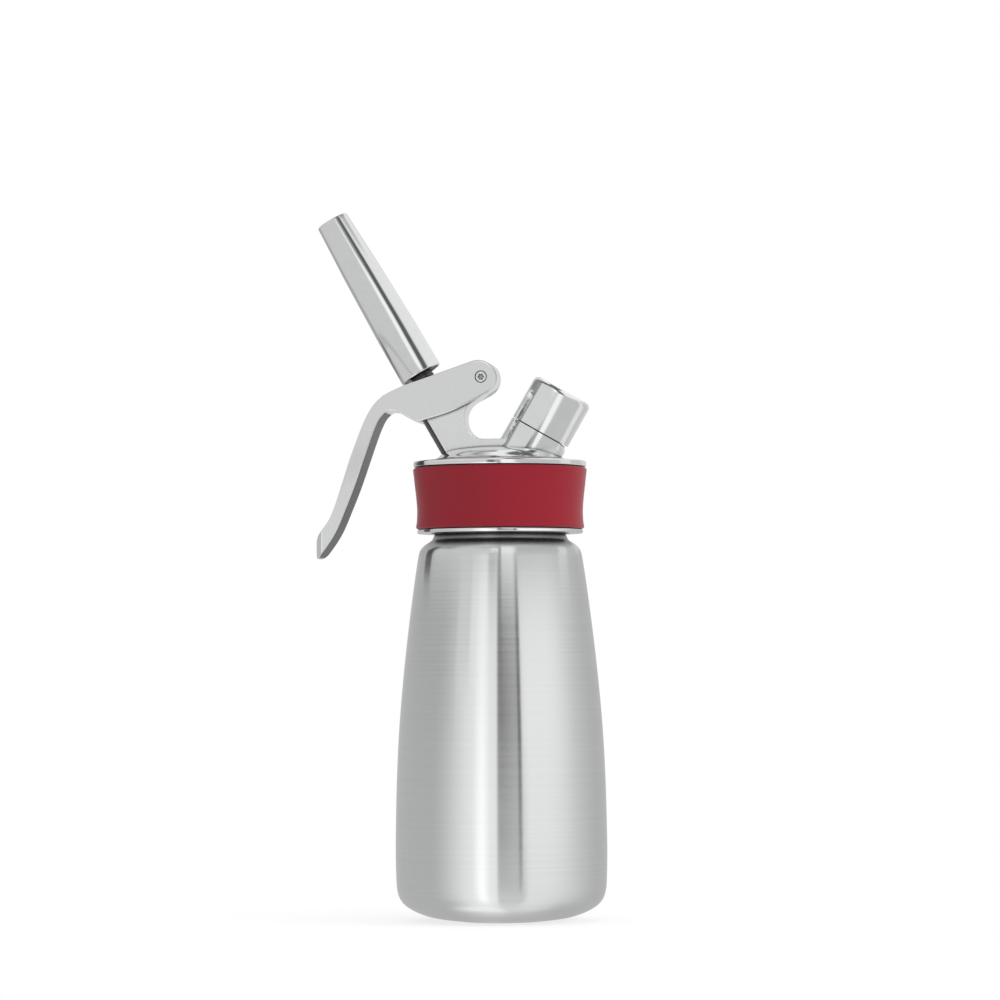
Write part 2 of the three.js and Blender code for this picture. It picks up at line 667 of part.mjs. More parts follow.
// One wire wound about the valve's axis, its ends cut square
function valveSpring() {
  const wire = springWire / 2;
  const foot = guideTop + seatGap + wire;
  const rise = collarFoot - seatGap - wire - foot;
  const steps = springCoils * springStepsPerCoil;
  const centres = [];
  const positions = [];
  const slope = Math.atan2(rise / springCoils, 2 * Math.PI * springMeanRadius);
  for (let i = 0; i <= steps; i += 1) {
    const turn = (i / springStepsPerCoil) * 2 * Math.PI;
    const out = new THREE.Vector3(Math.cos(turn), Math.sin(turn), 0);
    const up = new THREE.Vector3(
      Math.sin(turn) * Math.sin(slope), -Math.cos(turn) * Math.sin(slope), Math.cos(slope),
    );
    const centre = out.clone().multiplyScalar(springMeanRadius).setZ(foot + (rise * i) / steps);
    centres.push(centre);
    for (let side = 0; side < springSides; side += 1) {
      const angle = (side / springSides) * 2 * Math.PI;
      const point = centre.clone()
        .addScaledVector(out, wire * Math.cos(angle))
        .addScaledVector(up, wire * Math.sin(angle));
      positions.push(point.x, point.y, point.z);
    }
  }
  const index = [];
  for (let i = 0; i < steps; i += 1) {
    for (let side = 0; side < springSides; side += 1) {
      const next = (side + 1) % springSides;
      const a = i * springSides + side;
      const b = i * springSides + next;
      index.push(a, b, a + springSides, b, b + springSides, a + springSides);
    }
  }
  const last = steps * springSides;
  for (let side = 1; side < springSides - 1; side += 1) {
    index.push(0, side + 1, side);
    index.push(last, last + side, last + side + 1);
  }
  let leastGap = Infinity;
  centres.forEach((from, i) => {
    centres.slice(i + springStepsPerCoil / 2).forEach((to) => {
      leastGap = Math.min(leastGap, from.distanceTo(to) - springWire);
    });
  });
  console.log(`valve_spring: least gap to itself ${leastGap.toFixed(2)} mm`);
  const geometry = new THREE.BufferGeometry();
  geometry.setAttribute('position', new THREE.Float32BufferAttribute(positions, 3));
  geometry.setIndex(index);
  return alongValve(closed(geometry));
}

// Nozzle
function nozzle() {
  const tip = nozzleLevel + nozzleLength;
  return alongValve(revolve([
    [nozzleFootRadius - nozzleWall, nozzleLevel], [nozzleFootRadius - nozzleRounding, nozzleLevel],
    [nozzleFootRadius, nozzleLevel + nozzleRounding], [nozzleTipRadius, tip],
    [nozzleTipRadius - nozzleWall, tip],
  ], mediumSegments, true));
}

function nozzleThreadRing() {
  const foot = nozzleLevel + threadRingInset;
  const top = foot + threadRingHeight;
  const taper = (nozzleFootRadius - nozzleTipRadius) / nozzleLength;
  const outside = nozzleFootRadius - nozzleWall - taper * (top - nozzleLevel) - screwGap;
  const inside = collarNeckRadius + seatGap;
  return alongValve(revolve(
    [[inside, foot], [outside, foot], [outside, top], [inside, top]], mediumSegments, true,
  ));
}

// Charger port
const carrierFoot = portLevel - portShoulderDepth + seatGap;
const carrierTop = carrierFoot + carrierHeadHeight;

function pinCarrier() {
  const shank = carrierBore - screwGap;
  const spigotEnd = carrierEnd - carrierSpigotLength;
  return alongPort(revolve([
    [carrierGasBore, spigotEnd], [carrierSpigotRadius, spigotEnd], [carrierSpigotRadius, carrierEnd],
    [shank, carrierEnd], [shank, carrierFoot], [portBore - seatGap, carrierFoot],
    [portBore - seatGap, carrierTop], [carrierGasBore, carrierTop],
  ], smallSegments, true));
}

function piercingPin() {
  const top = pinFoot + pinLength;
  return alongPort(revolve(
    [[0, pinFoot], [pinRadius, pinFoot], [pinRadius, top - pinPoint], [0, top]], smallSegments,
  ));
}

function chargerGasket() {
  const foot = carrierTop + seatGap;
  const outside = portBore - seatGap;
  return alongPort(revolve([
    [chargerGasketHole, foot], [outside, foot], [outside, foot + chargerGasketThickness],
    [chargerGasketHole, foot + chargerGasketThickness],
  ], smallSegments, true));
}

// A soft cup over the carrier's spigot, which lets gas out and nothing back
function checkValve() {
  const inside = carrierSpigotRadius + screwGap;
  const outside = inside + checkValveWall;
  const top = carrierEnd - seatGap;
  const floor = carrierEnd - carrierSpigotLength - seatGap;
  return alongPort(revolve([
    [0, floor - checkValveWall], [outside, floor - checkValveWall], [outside, top],
    [inside, top], [inside, floor], [0, floor],
  ], smallSegments));
}

function portCap() {
  const top = portLevel + capHeight;
  const edge = [];
  for (let i = 0; i <= capRoundingSteps; i += 1) {
    const angle = (i / capRoundingSteps) * (Math.PI / 2);
    edge.push([
      capRadius - capRounding + capRounding * Math.cos(angle),
      top - capRounding + capRounding * Math.sin(angle),
    ]);
  }
  return alongPort(revolve([
    [capRadius - capWall, portLevel], [capRadius, portLevel], ...edge, [0, top],
    [0, top - capTop], [capRadius - capWall, top - capTop],
  ], mediumSegments, true));
}

addNode('bottle', bottle(), brushedSteel());
addNode('head_casting', headCasting(), polishedSteel());
addNode('grip_collar', gripCollar(), redSilicone());
addNode('head_gasket', headGasket(), redSilicone());
addNode('lever', lever(), satinSteel());
addNode('pivot_barrel', pivotBarrel(), satinSteel());
addNode('pivot_screw', pivotScrew(), satinSteel());
addNode('valve_stem', valveStem(), satinSteel());
addNode('stem_collar', stemCollar(), satinSteel());
addNode('valve_seal', valveSeal(), clearSilicone());
addNode('seal_nut', sealNut(), satinSteel());
addNode('stem_o_ring', stemORing(), blackRubber());
addNode('guide_bush', guideBush(), guidePlastic());
addNode('valve_spring', valveSpring(), springSteel());
addNode('nozzle', nozzle(), satinSteel());
addNode('nozzle_thread_ring', nozzleThreadRing(), satinSteel());
addNode('pin_carrier', pinCarrier(), satinSteel());
addNode('piercing_pin', piercingPin(), springSteel());
addNode('charger_gasket', chargerGasket(), redSilicone());
addNode('check_valve', checkValve(), clearSilicone());
addNode('port_cap', portCap(), polishedSteel());

export default group;
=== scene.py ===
import math

import bmesh
import bpy
from mathutils import Matrix, Vector


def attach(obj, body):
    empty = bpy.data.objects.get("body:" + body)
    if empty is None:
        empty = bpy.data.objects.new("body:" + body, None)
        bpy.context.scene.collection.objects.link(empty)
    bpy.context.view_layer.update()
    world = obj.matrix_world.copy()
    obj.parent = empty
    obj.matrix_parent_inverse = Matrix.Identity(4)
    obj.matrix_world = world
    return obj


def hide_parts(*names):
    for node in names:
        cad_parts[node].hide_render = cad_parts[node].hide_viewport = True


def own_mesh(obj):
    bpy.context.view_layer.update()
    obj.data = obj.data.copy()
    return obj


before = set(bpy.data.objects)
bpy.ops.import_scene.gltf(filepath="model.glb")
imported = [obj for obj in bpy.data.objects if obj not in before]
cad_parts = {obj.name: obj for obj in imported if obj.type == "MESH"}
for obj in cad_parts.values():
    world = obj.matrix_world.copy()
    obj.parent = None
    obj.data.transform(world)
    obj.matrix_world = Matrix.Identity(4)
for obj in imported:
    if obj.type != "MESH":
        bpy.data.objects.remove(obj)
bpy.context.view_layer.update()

MM = 0.001

# The camera stands about a metre and a half off, a little above the middle of the bottle, and
# looks slightly up. It is turned toward the port's side, so the right-hand faces show.
camera_distance = 1512 * MM
camera_height = 93 * MM
camera_turn = math.radians(7.0)
camera_rise = math.radians(2.2)
camera_roll = math.radians(-0.25)
camera_data = bpy.data.cameras.new("camera")
camera_data.lens = 151.2
camera_data.sensor_width = 36.0
camera = bpy.data.objects.new("camera", camera_data)
camera.location = (
    camera_distance * math.sin(camera_turn),
    -camera_distance * math.cos(camera_turn),
    camera_height,
)
camera.rotation_euler = (
    Matrix.Rotation(camera_turn, 4, "Z") @ Matrix.Rotation(math.pi / 2 + camera_rise, 4, "X")
    @ Matrix.Rotation(camera_roll, 4, "Z")
).to_euler()
bpy.context.scene.collection.objects.link(camera)
bpy.context.scene.camera = camera
bpy.context.scene.view_settings.view_transform = "Standard"


class Wire:
    """An output socket of a shader node. Arithmetic on it adds Math nodes."""

    def __init__(self, tree, socket=None):
        self.tree = tree
        self.socket = socket

    def node(self, kind, settings, inputs, output=0):
        """Adds a node: its settings first, then the values or links of its sockets."""
        made = self.tree.nodes.new(kind)
        for name, value in settings.items():
            setattr(made, name, value)
        for name, value in inputs.items():
            if isinstance(value, Wire):
                self.tree.links.new(value.socket, made.inputs[name])
            else:
                made.inputs[name].default_value = value
        return Wire(self.tree, made.outputs[output]) if len(made.outputs) else None

    def math(self, operation, *values):
        return self.node("ShaderNodeMath", {"operation": operation}, dict(enumerate(values)))

    def __add__(self, other):
        return self.math("ADD", self, other)

    def __radd__(self, other):
        return self.math("ADD", other, self)

    def __sub__(self, other):
        return self.math("SUBTRACT", self, other)

    def __rsub__(self, other):
        return self.math("SUBTRACT", other, self)

    def __mul__(self, other):
        return self.math("MULTIPLY", self, other)

    def __rmul__(self, other):
        return self.math("MULTIPLY", other, self)

    def step(self, low, high):
        """0 below low, 1 above high, and a smooth rise between."""
        return self.node(
            "ShaderNodeMapRange", {"interpolation_type": "SMOOTHSTEP"},
            {"Value": self, "From Min": low, "From Max": high},
        )


# The room is white, and lights matt surfaces evenly from all round. What the steel mirrors is the
# studio below.
world = bpy.data.worlds.new("white_room")
bpy.context.scene.world = world
world.use_nodes = True
world.cycles.sampling_method = "NONE"
world.node_tree.nodes["Background"].inputs["Color"].default_value = (1.0, 1.0, 1.0, 1.0)
world.node_tree.nodes["Background"].inputs["Strength"].default_value = 1.0

# A round white table top carries the dispenser and keeps its shadow, faint and fading out. Apart
# from the shadow it looks as white as the room.
table_radius = 300 * MM
shadow_reach = 150 * MM
table_white = 0.985
shadow_lightness = 0.65
bpy.ops.mesh.primitive_circle_add(vertices=128, radius=table_radius, fill_type="NGON")
table = bpy.context.object
table.name = "table_top"
table_material = bpy.data.materials.new("table_white")
table_material.use_nodes = True
table_shader = table_material.node_tree.nodes["Principled BSDF"]
table_shader.inputs["Base Color"].default_value = (table_white, table_white, table_white, 1.0)
table_shader.inputs["Roughness"].default_value = 0.9
table_shader.inputs["Specular IOR Level"].default_value = 0.0
wire = Wire(table_material.node_tree)
shaded = Wire(wire.tree, table_shader.outputs[0])
lit = wire.node("ShaderNodeEmission", {}, {"Color": (1.0, 1.0, 1.0, 1.0), "Strength": 1.0})
seen = wire.node("ShaderNodeLightPath", {}, {}, "Is Camera Ray")
place = wire.node("ShaderNodeTexCoord", {}, {}, "Object")
outward = wire.node("ShaderNodeVectorMath", {"operation": "LENGTH"}, {0: place}, "Value")
fading = outward.step(0.0, shadow_reach) * (1.0 - shadow_lightness) + shadow_lightness
both = wire.node("ShaderNodeMixShader", {}, {0: seen * fading, 1: shaded, 2: lit})
wire.tree.links.new(both.socket, wire.tree.nodes["Material Output"].inputs["Surface"])
table.data.materials.append(table_material)
table.visible_glossy = False


# Only reflections see the studio. It is painted with soft panels, later ones in front of earlier
# ones. Azimuth 0 is in front of the dispenser and 90 on the port's side.
def painted(name, rise, level, panels):
    """A glowing material. Rise turns the wire of the height into what the panels' heights are in.
    A panel is an azimuth from and to and a height from and to, each with how soft it is, and its
    own level."""
    material = bpy.data.materials.new(name)
    material.use_nodes = True
    material.cycles.emission_sampling = "NONE"
    material.node_tree.nodes.clear()
    wire = Wire(material.node_tree)
    place = wire.node("ShaderNodeTexCoord", {}, {}, "Object")
    across, inward, upward = (
        wire.node("ShaderNodeSeparateXYZ", {}, {"Vector": place}, axis) for axis in "XYZ"
    )
    azimuth = wire.math("DEGREES", wire.math("ARCTAN2", across, -1.0 * inward))
    height = rise(upward)
    for left, left_soft, right, right_soft, low, low_soft, high, high_soft, panel_level in panels:
        wide = azimuth.step(left - left_soft, left + left_soft)
        wide = wide * (1.0 - azimuth.step(right - right_soft, right + right_soft))
        tall = height.step(low - low_soft, low + low_soft)
        tall = tall * (1.0 - height.step(high - high_soft, high + high_soft))
        mask = wide * tall
        level = level * (1.0 - mask) + panel_level * mask
    glow = wire.node("ShaderNodeEmission", {}, {"Color": level, "Strength": 1.0})
    wire.node("ShaderNodeOutputMaterial", {}, {"Surface": glow})
    return material


# The outer studio is a sphere. Its panels' heights are elevations in degrees.
studio_radius = 1400 * MM
studio_centre = 120 * MM
studio_level = 0.52


def elevation(up):
    """The degrees above the studio's centre at which a height on its sphere lies."""
    return up.math("DEGREES", up.math("ARCSINE", up * (1.0 / studio_radius)))


bpy.ops.mesh.primitive_uv_sphere_add(
    segments=64, ring_count=32, radius=studio_radius, location=(0.0, 0.0, studio_centre),
)
studio = bpy.context.object
studio.name = "studio_sphere"
studio.data.materials.append(painted("studio_sphere", elevation, studio_level, [
    (-47, 30, 3, 1, -91, 1, 91, 1, 1.0),
    (-20, 6, -9, 5, -50, 12, 12, 8, 1.3),
    (33, 5, 95, 45, -91, 1, 91, 1, 0.88),
    (3, 1, 33, 5, -91, 1, 91, 1, 0.7),
    (30, 2, 80, 22, -2, 5, 22, 8, 1.03),
    (3, 1, 29.5, 1, -3, 5, 91, 1, 0.44),
    (3, 1, 29.5, 1, 20, 10, 91, 1, 0.14),
    (3, 0.7, 16, 14, -1, 6, 91, 1, 0.08),
    (25.7, 0.7, 29.3, 0.7, -8, 6, 91, 1, 0.03),
    (-400, 1, 400, 1, -91, 1, -64, 10, 0.82),
    (-400, 1, -10, 20, -91, 1, -68, 8, 1.08),
    (-400, 1, -45, 22, 10, 8, 91, 1, 0.36),
    (-70, 20, 3, 1, 22, 5, 91, 1, 0.48),
    (-400, 1, 400, 1, 52, 8, 91, 1, 0.15),
    (-400, 1, -140, 15, 52, 8, 91, 1, 0.9),
    (168, 5, 400, 1, 52, 8, 91, 1, 0.9),
]))

# The head stands in a tent of its own: a wall round it, a shelf under it on each side and a card
# in front of the lever's tail. Its panels' heights are in millimetres above the table.
tent_radius = 150 * MM
tent_foot = 157 * MM
tent_top = 430 * MM
shelves = [(5, 150, 33 * MM), (-150, -50, 75 * MM)]
tail_card = [(-92, 104), (-48, 104), (-48, 156), (-92, 156)]
tail_card_depth = -100 * MM
tent_step = 5
tent_level = 0.69
tent_mesh = bmesh.new()
for turn in range(-180, 180, tent_step):
    sides = [(math.sin(a), -math.cos(a)) for a in map(math.radians, (turn, turn + tent_step))]
    faces = [((tent_radius, tent_foot), (tent_radius, tent_top))]
    for start, end, inside in shelves:
        if start <= turn < end:
            faces.append(((inside, tent_foot), (tent_radius, tent_foot)))
    for (near, low), (far, high) in faces:
        (x0, y0), (x1, y1) = sides
        tent_mesh.faces.new([tent_mesh.verts.new(v) for v in (
            (x0 * near, y0 * near, low), (x1 * near, y1 * near, low),
            (x1 * far, y1 * far, high), (x0 * far, y0 * far, high),
        )])
tent_mesh.faces.new([tent_mesh.verts.new((x * MM, tail_card_depth, z * MM)) for x, z in tail_card])
tent_data = bpy.data.meshes.new("head_tent")
tent_mesh.to_mesh(tent_data)
tent_mesh.free()
tent = bpy.data.objects.new("head_tent", tent_data)
bpy.context.scene.collection.objects.link(tent)
tent_data.materials.append(painted("head_tent", lambda up: up * (1.0 / MM), tent_level, [
    (-150, 10, -104, 6, 150, 1, 250, 15, 0.46),
    (-145, 8, -79, 1.5, 246, 6, 450, 1, 0.26),
    (-8, 5, 9, 4, 226, 8, 340, 20, 1.12),
    (0, 6, 20, 4, 315, 15, 450, 1, 0.4),
    (14, 3, 41, 5, 225, 10, 450, 1, 0.13),
    (48, 7, 400, 1, 245, 10, 450, 1, 0.94),
    (-105, 5, -40, 8, 165, 1, 173, 2, 0.54),
    (-40, 8, -8, 1, 165, 1, 176, 3, 0.6),
    (-132, 3, -108, 3, 165, 1, 176, 3, 0.15),
    (-8, 1.5, 1, 1.5, 150, 1, 182, 4, 0.12),
    (1, 1.5, 8, 1, 150, 1, 182, 4, 0.4),
    (8, 1, 24, 4, 150, 1, 205, 6, 0.98),
    (26, 4, 88, 5, 150, 1, 205, 12, 0.55),
    (88, 3, 106, 3, 150, 1, 205, 12, 0.78),
    (106, 3, 135, 5, 150, 1, 205, 12, 0.58),
    (-90, 1, -20, 1, 50, 1, 156.5, 0.4, 0.71),
]))
for screen in (studio, tent):
    screen.visible_camera = False
    screen.visible_diffuse = False
    screen.visible_transmission = False
    screen.visible_volume_scatter = False
    screen.visible_shadow = False

# A soft lamp on the port's side models the grip. It isn't seen in the steel.
side_lamp_data = bpy.data.lights.new("side_lamp", "AREA")
side_lamp_data.shape = "DISK"
side_lamp_data.size = 500 * MM
side_lamp_data.energy = 4.0
side_lamp = bpy.data.objects.new("side_lamp", side_lamp_data)
side_lamp.location = (900 * MM, -350 * MM, 420 * MM)
lamp_aim = Vector((0.0, 0.0, 150 * MM)) - side_lamp.location
side_lamp.rotation_euler = lamp_aim.to_track_quat("-Z", "Y").to_euler()
side_lamp.visible_glossy = False
bpy.context.scene.collection.objects.link(side_lamp)


# The bottle is one drawn stainless shell, ground satin round its axis. It narrows above the
# middle, turns in over a short round shoulder and ends in a screw neck inside the head.
bottle_radius = 38 * MM
body_height = 137.6 * MM
bottle_wall = 0.9 * MM
neck_radius = 24.1 * MM
neck_wall = 1.5 * MM
neck_height = 20.8 * MM
neck_top = body_height + neck_height
neck_run_out = 1.2 * MM
neck_corner = 0.4 * MM
neck_thread_height = 0.5 * MM
neck_thread_pitch = 3 * MM
neck_thread_foot = body_height + 4 * MM
neck_thread_top = neck_top - 2 * MM
body_shares = [
    (0.4, 0), (0.63, 0.0085), (0.777, 0.0205), (0.893, 0.0375), (0.953, 0.055), (0.982, 0.076),
    (0.9945, 0.108), (1, 0.185), (0.9962, 0.2607), (0.987, 0.3649), (0.965, 0.4901),
    (0.928, 0.6154), (0.8795, 0.7408), (0.8237, 0.8611), (0.782, 0.9396), (0.7658, 0.9605),
    (0.7458, 0.971), (0.7065, 0.9815), (0.6513, 0.9919),
]


def through(points, steps):
    """A smooth curve through the points, with the same number of steps between each two."""
    curve = []
    for i in range(len(points) - 1):
        a, b, c, d = (Vector(points[min(max(i + k, 0), len(points) - 1)]) for k in (-1, 0, 1, 2))
        for k in range(steps):
            t = k / steps
            curve.append(0.5 * (
                2 * b + (c - a) * t + (2 * a - 5 * b + 4 * c - d) * t ** 2
                + (3 * b - a - 3 * c + d) * t ** 3
            ))
    return [tuple(p) for p in curve] + [tuple(points[-1])]


def rounded(corners, steps=5):
    """An outline with its corners rounded. A corner is two places and, if it is round, a radius."""
    outline = []
    for i, (x, z, *radius) in enumerate(corners):
        here = Vector((x, z))
        if not radius:
            outline.append((x, z))
            continue
        before = Vector(corners[i - 1][:2]) - here
        after = Vector(corners[(i + 1) % len(corners)][:2]) - here
        run = radius[0] / math.tan(before.angle(after) / 2)
        start = here + before.normalized() * min(run, before.length / 2)
        end = here + after.normalized() * min(run, after.length / 2)
        for k in range(steps + 1):
            t = k / steps
            outline.append(tuple(start * (1 - t) ** 2 + here * 2 * t * (1 - t) + end * t ** 2))
    return outline


def piece_from(name, bm, crease=30):
    """Makes an object of a bmesh: smooth, with creases where faces meet at a sharper angle."""
    bmesh.ops.recalc_face_normals(bm, faces=bm.faces)
    mesh = bpy.data.meshes.new(name)
    bm.to_mesh(mesh)
    bm.free()
    mesh.shade_smooth()
    mesh.set_sharp_from_angle(angle=math.radians(crease))
    piece = bpy.data.objects.new(name, mesh)
    bpy.context.scene.collection.objects.link(piece)
    return piece


def turned(name, profile, around=96, crease=30):
    """A piece turned on a lathe round Z. The profile of (radius, height) points ends on the
    axis at both ends, or else closes on itself."""
    bm = bmesh.new()
    rings = []
    for radius, height in profile:
        if radius < 1e-7:
            rings.append([bm.verts.new((0.0, 0.0, height))])
            continue
        turns = [2 * math.pi * k / around for k in range(around)]
        rings.append([
            bm.verts.new((radius * math.cos(a), radius * math.sin(a), height)) for a in turns
        ])
    pairs = list(zip(rings, rings[1:]))
    if len(rings[0]) > 1:
        pairs.append((rings[-1], rings[0]))
    for low, high in pairs:
        for k in range(around):
            m = (k + 1) % around
            if len(low) == 1 and len(high) > 1:
                bm.faces.new((low[0], high[m], high[k]))
            elif len(high) == 1 and len(low) > 1:
                bm.faces.new((low[k], low[m], high[0]))
            elif len(low) > 1:
                bm.faces.new((low[k], low[m], high[m], high[k]))
    return piece_from(name, bm, crease)


def thread(name, radius, height, pitch, start, end, around=48, sunk=0.15 * MM):
    """The ridge of a screw thread round Z, which runs out over a sixth of a turn at each end. A
    negative height stands inward, in a bore."""
    bm = bmesh.new()
    turns = (end - start) / pitch
    steps = int(turns * around)
    run_out = around / 6
    half_root = 0.36
    half_crest = 0.1
    root = radius - math.copysign(sunk, height)
    rows = []
    for k in range(steps + 1):
        turn = 2 * math.pi * k / around
        middle = start + pitch * k / around
        fade = min(1.0, k / run_out, (steps - k) / run_out)
        crest = radius + height * fade
        row = ((root, -half_root), (crest, -half_crest), (crest, half_crest), (root, half_root))
        rows.append([
            bm.verts.new((r * math.cos(turn), r * math.sin(turn), middle + share * pitch))
            for r, share in row
        ])
    for low, high in zip(rows, rows[1:]):
        for k in range(4):
            m = (k + 1) % 4
            bm.faces.new((low[k], low[m], high[m], high[k]))
    bm.faces.new(rows[0])
    bm.faces.new(rows[-1])
    return piece_from(name, bm, 50)


def joined(name, pieces):
    """Pieces of one part that don't share faces, put together in one object."""
    bm = bmesh.new()
    for piece in pieces:
        bm.from_mesh(piece.data)
        bpy.data.objects.remove(piece)
    return piece_from(name, bm)


def inset(outline, wall):
    """The outline moved in by the thickness of the wall, square to itself."""
    moved = []
    for i, (radius, height) in enumerate(outline):
        run = Vector(outline[min(i + 1, len(outline) - 1)]) - Vector(outline[max(i - 1, 0)])
        run.normalize()
        moved.append((radius - wall * run[1], height + wall * run[0]))
    return moved


side_points = [(bottle_radius * r, body_height * z) for r, z in body_shares]
side = through(side_points + [(neck_radius, body_height)], 6)
neck_root = neck_radius - neck_thread_height
neck_inside = neck_radius - neck_wall
inner_side = [(r, z) for r, z in inset(side, bottle_wall) if r > neck_inside and z > bottle_wall]
bottle_profile = [(0.0, 0.0)] + side[:-1] + rounded([
    (neck_radius, body_height), (neck_root, body_height + neck_run_out, neck_corner),
    (neck_root, neck_top, neck_corner), (neck_inside, neck_top, neck_corner),
])
bottle_profile += [(neck_inside, body_height - bottle_wall)] + inner_side[::-1]
bottle_profile += [(side[0][0], bottle_wall), (0.0, bottle_wall)]
bottle = joined("bottle_shell", [
    turned("bottle_shell_turned", bottle_profile, 192),
    thread(
        "neck_thread", neck_root, neck_thread_height, neck_thread_pitch, neck_thread_foot,
        neck_thread_top, 96,
    ),
])


def blank(name):
    """A new material, with its wire, its shader and the place on the piece that it colours."""
    material = bpy.data.materials.new(name)
    material.use_nodes = True
    wire = Wire(material.node_tree)
    shader = material.node_tree.nodes["Principled BSDF"]
    return material, wire, shader, wire.node("ShaderNodeTexCoord", {}, {}, "Object")


def noise(wire, place, fineness, detail):
    """Soft irregular marks, so many to the metre."""
    return wire.node(
        "ShaderNodeTexNoise", {}, {"Vector": place, "Scale": fineness, "Detail": detail},
    )


def mixed(wire, share, colour, other):
    """One colour, and as the share rises more of the other."""
    colours = {"Factor": share, 6: colour, 7: other}
    return wire.node("ShaderNodeMix", {"data_type": "RGBA"}, colours, 2)


def shade_of(colour, strength):
    return tuple(min(1.0, c * strength) for c in colour) + (1.0,)


def skinned(wire, shader, tint, rough, height, relief):
    """Links colour and roughness, and gives the skin a relief of the height's pattern."""
    bump = wire.node("ShaderNodeBump", {}, {"Height": height, "Strength": 1.0, "Distance": relief})
    for value, name in ((tint, "Base Color"), (rough, "Roughness"), (bump, "Normal")):
        wire.tree.links.new(value.socket, shader.inputs[name])


def steel(
    name, colour, roughness, grain, streak, relief, crease, crease_shade=0.04, anisotropy=0.0, corner=0.78,
):
    """Stainless steel. The grain is how fine the marks of the finish lie along X, Y and Z, in
    marks per metre, the streak is how far they change the roughness, and the relief their depth.
    Shade is painted into the base colour in corners and between parts: as far out as the crease it
    darkens the colour towards the given shade level, and clears up as the corner opens. The table's
    corner isn't one of them."""
    material, wire, shader, place = blank(name)
    shader.inputs["Metallic"].default_value = 1.0
    shader.inputs["Anisotropic"].default_value = anisotropy
    shader.inputs["Anisotropic Rotation"].default_value = 0.25 if anisotropy else 0.0
    lie = wire.node("ShaderNodeMapping", {}, {"Vector": place, "Scale": grain})
    marks = noise(wire, lie, 1.0, 3.0)
    cloud_fineness = 70.0
    cloud = noise(wire, place, cloud_fineness, 2.0)
    pattern = marks.step(0.32, 0.68) * 0.7 + cloud * 0.3
    tint = mixed(wire, pattern, shade_of(colour, 0.98), shade_of(colour, 1.02))
    # Painted shade: where ambient occlusion finds a corner or a neighbouring part, the colour
    # darkens.
    opening = wire.node("ShaderNodeAmbientOcclusion", {"samples": 8}, {"Distance": crease}, "AO")
    above = wire.node("ShaderNodeSeparateXYZ", {}, {"Vector": place}, "Z")
    by_table = 1.0 - above.step(20 * MM, 30 * MM)
    unshaded = wire.math("MAXIMUM", opening.step(1.2 - corner, corner), by_table)
    tint = mixed(wire, unshaded, (crease_shade, crease_shade, crease_shade, 1.0), tint)
    cloud_share = 0.35
    mean_marks = 0.67
    rough = marks * streak + cloud * (cloud_share * streak) + (roughness - mean_marks * streak)
    skinned(wire, shader, tint, rough, marks, relief)
    return material


# The bottle's colour carries painted shade up to 14 mm out from its corners and from the head's rim
# above it.
brushed = steel(
    "bottle_satin_steel", (0.80, 0.805, 0.81), 0.2, (14.0, 14.0, 1500.0), 0.07, 0.003 * MM, 14 * MM,
    crease_shade=0.22, anisotropy=1.0, corner=0.95,
)
bottle.data.materials.append(brushed)
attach(bottle, "bottle_body")
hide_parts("bottle")


# The head is one steel casting, turned at the skirt and flange and polished, but for the post's
# left side, which is rougher and painted dark with shade. The skirt screws on the bottle's neck,
# and the top carries the valve post and the charger port's boss.
seat_gap = 0.3 * MM
skirt_bore = 25 * MM
skirt_radius = 28.4 * MM
skirt_foot = 139 * MM
rim_radius = 29.8 * MM
rim_top = 140.3 * MM
flange_radius = 31.1 * MM
flange_foot = 162.9 * MM
flange_top = 164.9 * MM
plinth_radius = 23.4 * MM
plinth_top = 165.8 * MM
dome_crown = 4.4 * MM
crown_shares = [
    (1, 0), (0.966, 0.07), (0.859, 0.5), (0.739, 0.705), (0.538, 0.864), (0.36, 0.955), (0, 1),
]
ceiling = 160.7 * MM
skirt_thread_height = 0.25 * MM
skirt_thread_foot = skirt_foot + 3 * MM
skirt_thread_top = ceiling - 4 * MM
turned_corner = 0.35 * MM
bell = turned("head_bell_turned", rounded([
    (0.0, ceiling), (skirt_bore, ceiling), (skirt_bore, skirt_foot, turned_corner),
    (rim_radius, skirt_foot, turned_corner), (rim_radius, rim_top, turned_corner),
    (skirt_radius, rim_top), (skirt_radius, flange_foot),
    (flange_radius, flange_foot, turned_corner), (flange_radius, flange_top, 0.7 * MM),
    (plinth_radius, flange_top + 0.5 * MM), (0.0, flange_top + 0.4 * MM),
]), 192)
skirt_thread = thread(
    "skirt_thread", skirt_bore, -skirt_thread_height, neck_thread_pitch, skirt_thread_foot,
    skirt_thread_top, 96,
)

valve_tilt = math.radians(30)
valve_crossing = neck_top - 11 * MM
port_crossing = neck_top - 8.3 * MM
valve_frame = Matrix.Translation((0.0, 0.0, valve_crossing)) @ Matrix.Rotation(-valve_tilt, 4, "Y")
port_frame = Matrix.Translation((0.0, 0.0, port_crossing)) @ Matrix.Rotation(valve_tilt, 4, "Y")
valve_boss_radius = 8.1 * MM
valve_boss_foot = 15 * MM
valve_bore = 3.6 * MM
pocket_radius = 4.4 * MM
bell_valve_reach = (9 * MM, 26 * MM)
seat_level = 11.1 * MM
seat_boss_radius = 7.5 * MM
seat_boss_top = 20 * MM
seat_chamfer = 1.5 * MM
post_top = 45.69 * MM
pocket_floor = post_top - 19 * MM
post_half_thickness = 5.7 * MM
post_inset = 3 * MM
pivot = Vector((-5.8 * MM, 195.2 * MM))
pivot_along = -pivot[0] * math.sin(valve_tilt) + (pivot[1] - valve_crossing) * math.cos(valve_tilt)
pivot_radius = 2 * MM
pin_gap = 0.08 * MM
pin_cut_reach = 20 * MM
lug_radius = 5.65 * MM
hook = Vector((-4.7 * MM, 180.2 * MM))
hook_radius = 7.3 * MM
port_boss_radius = 11.3 * MM
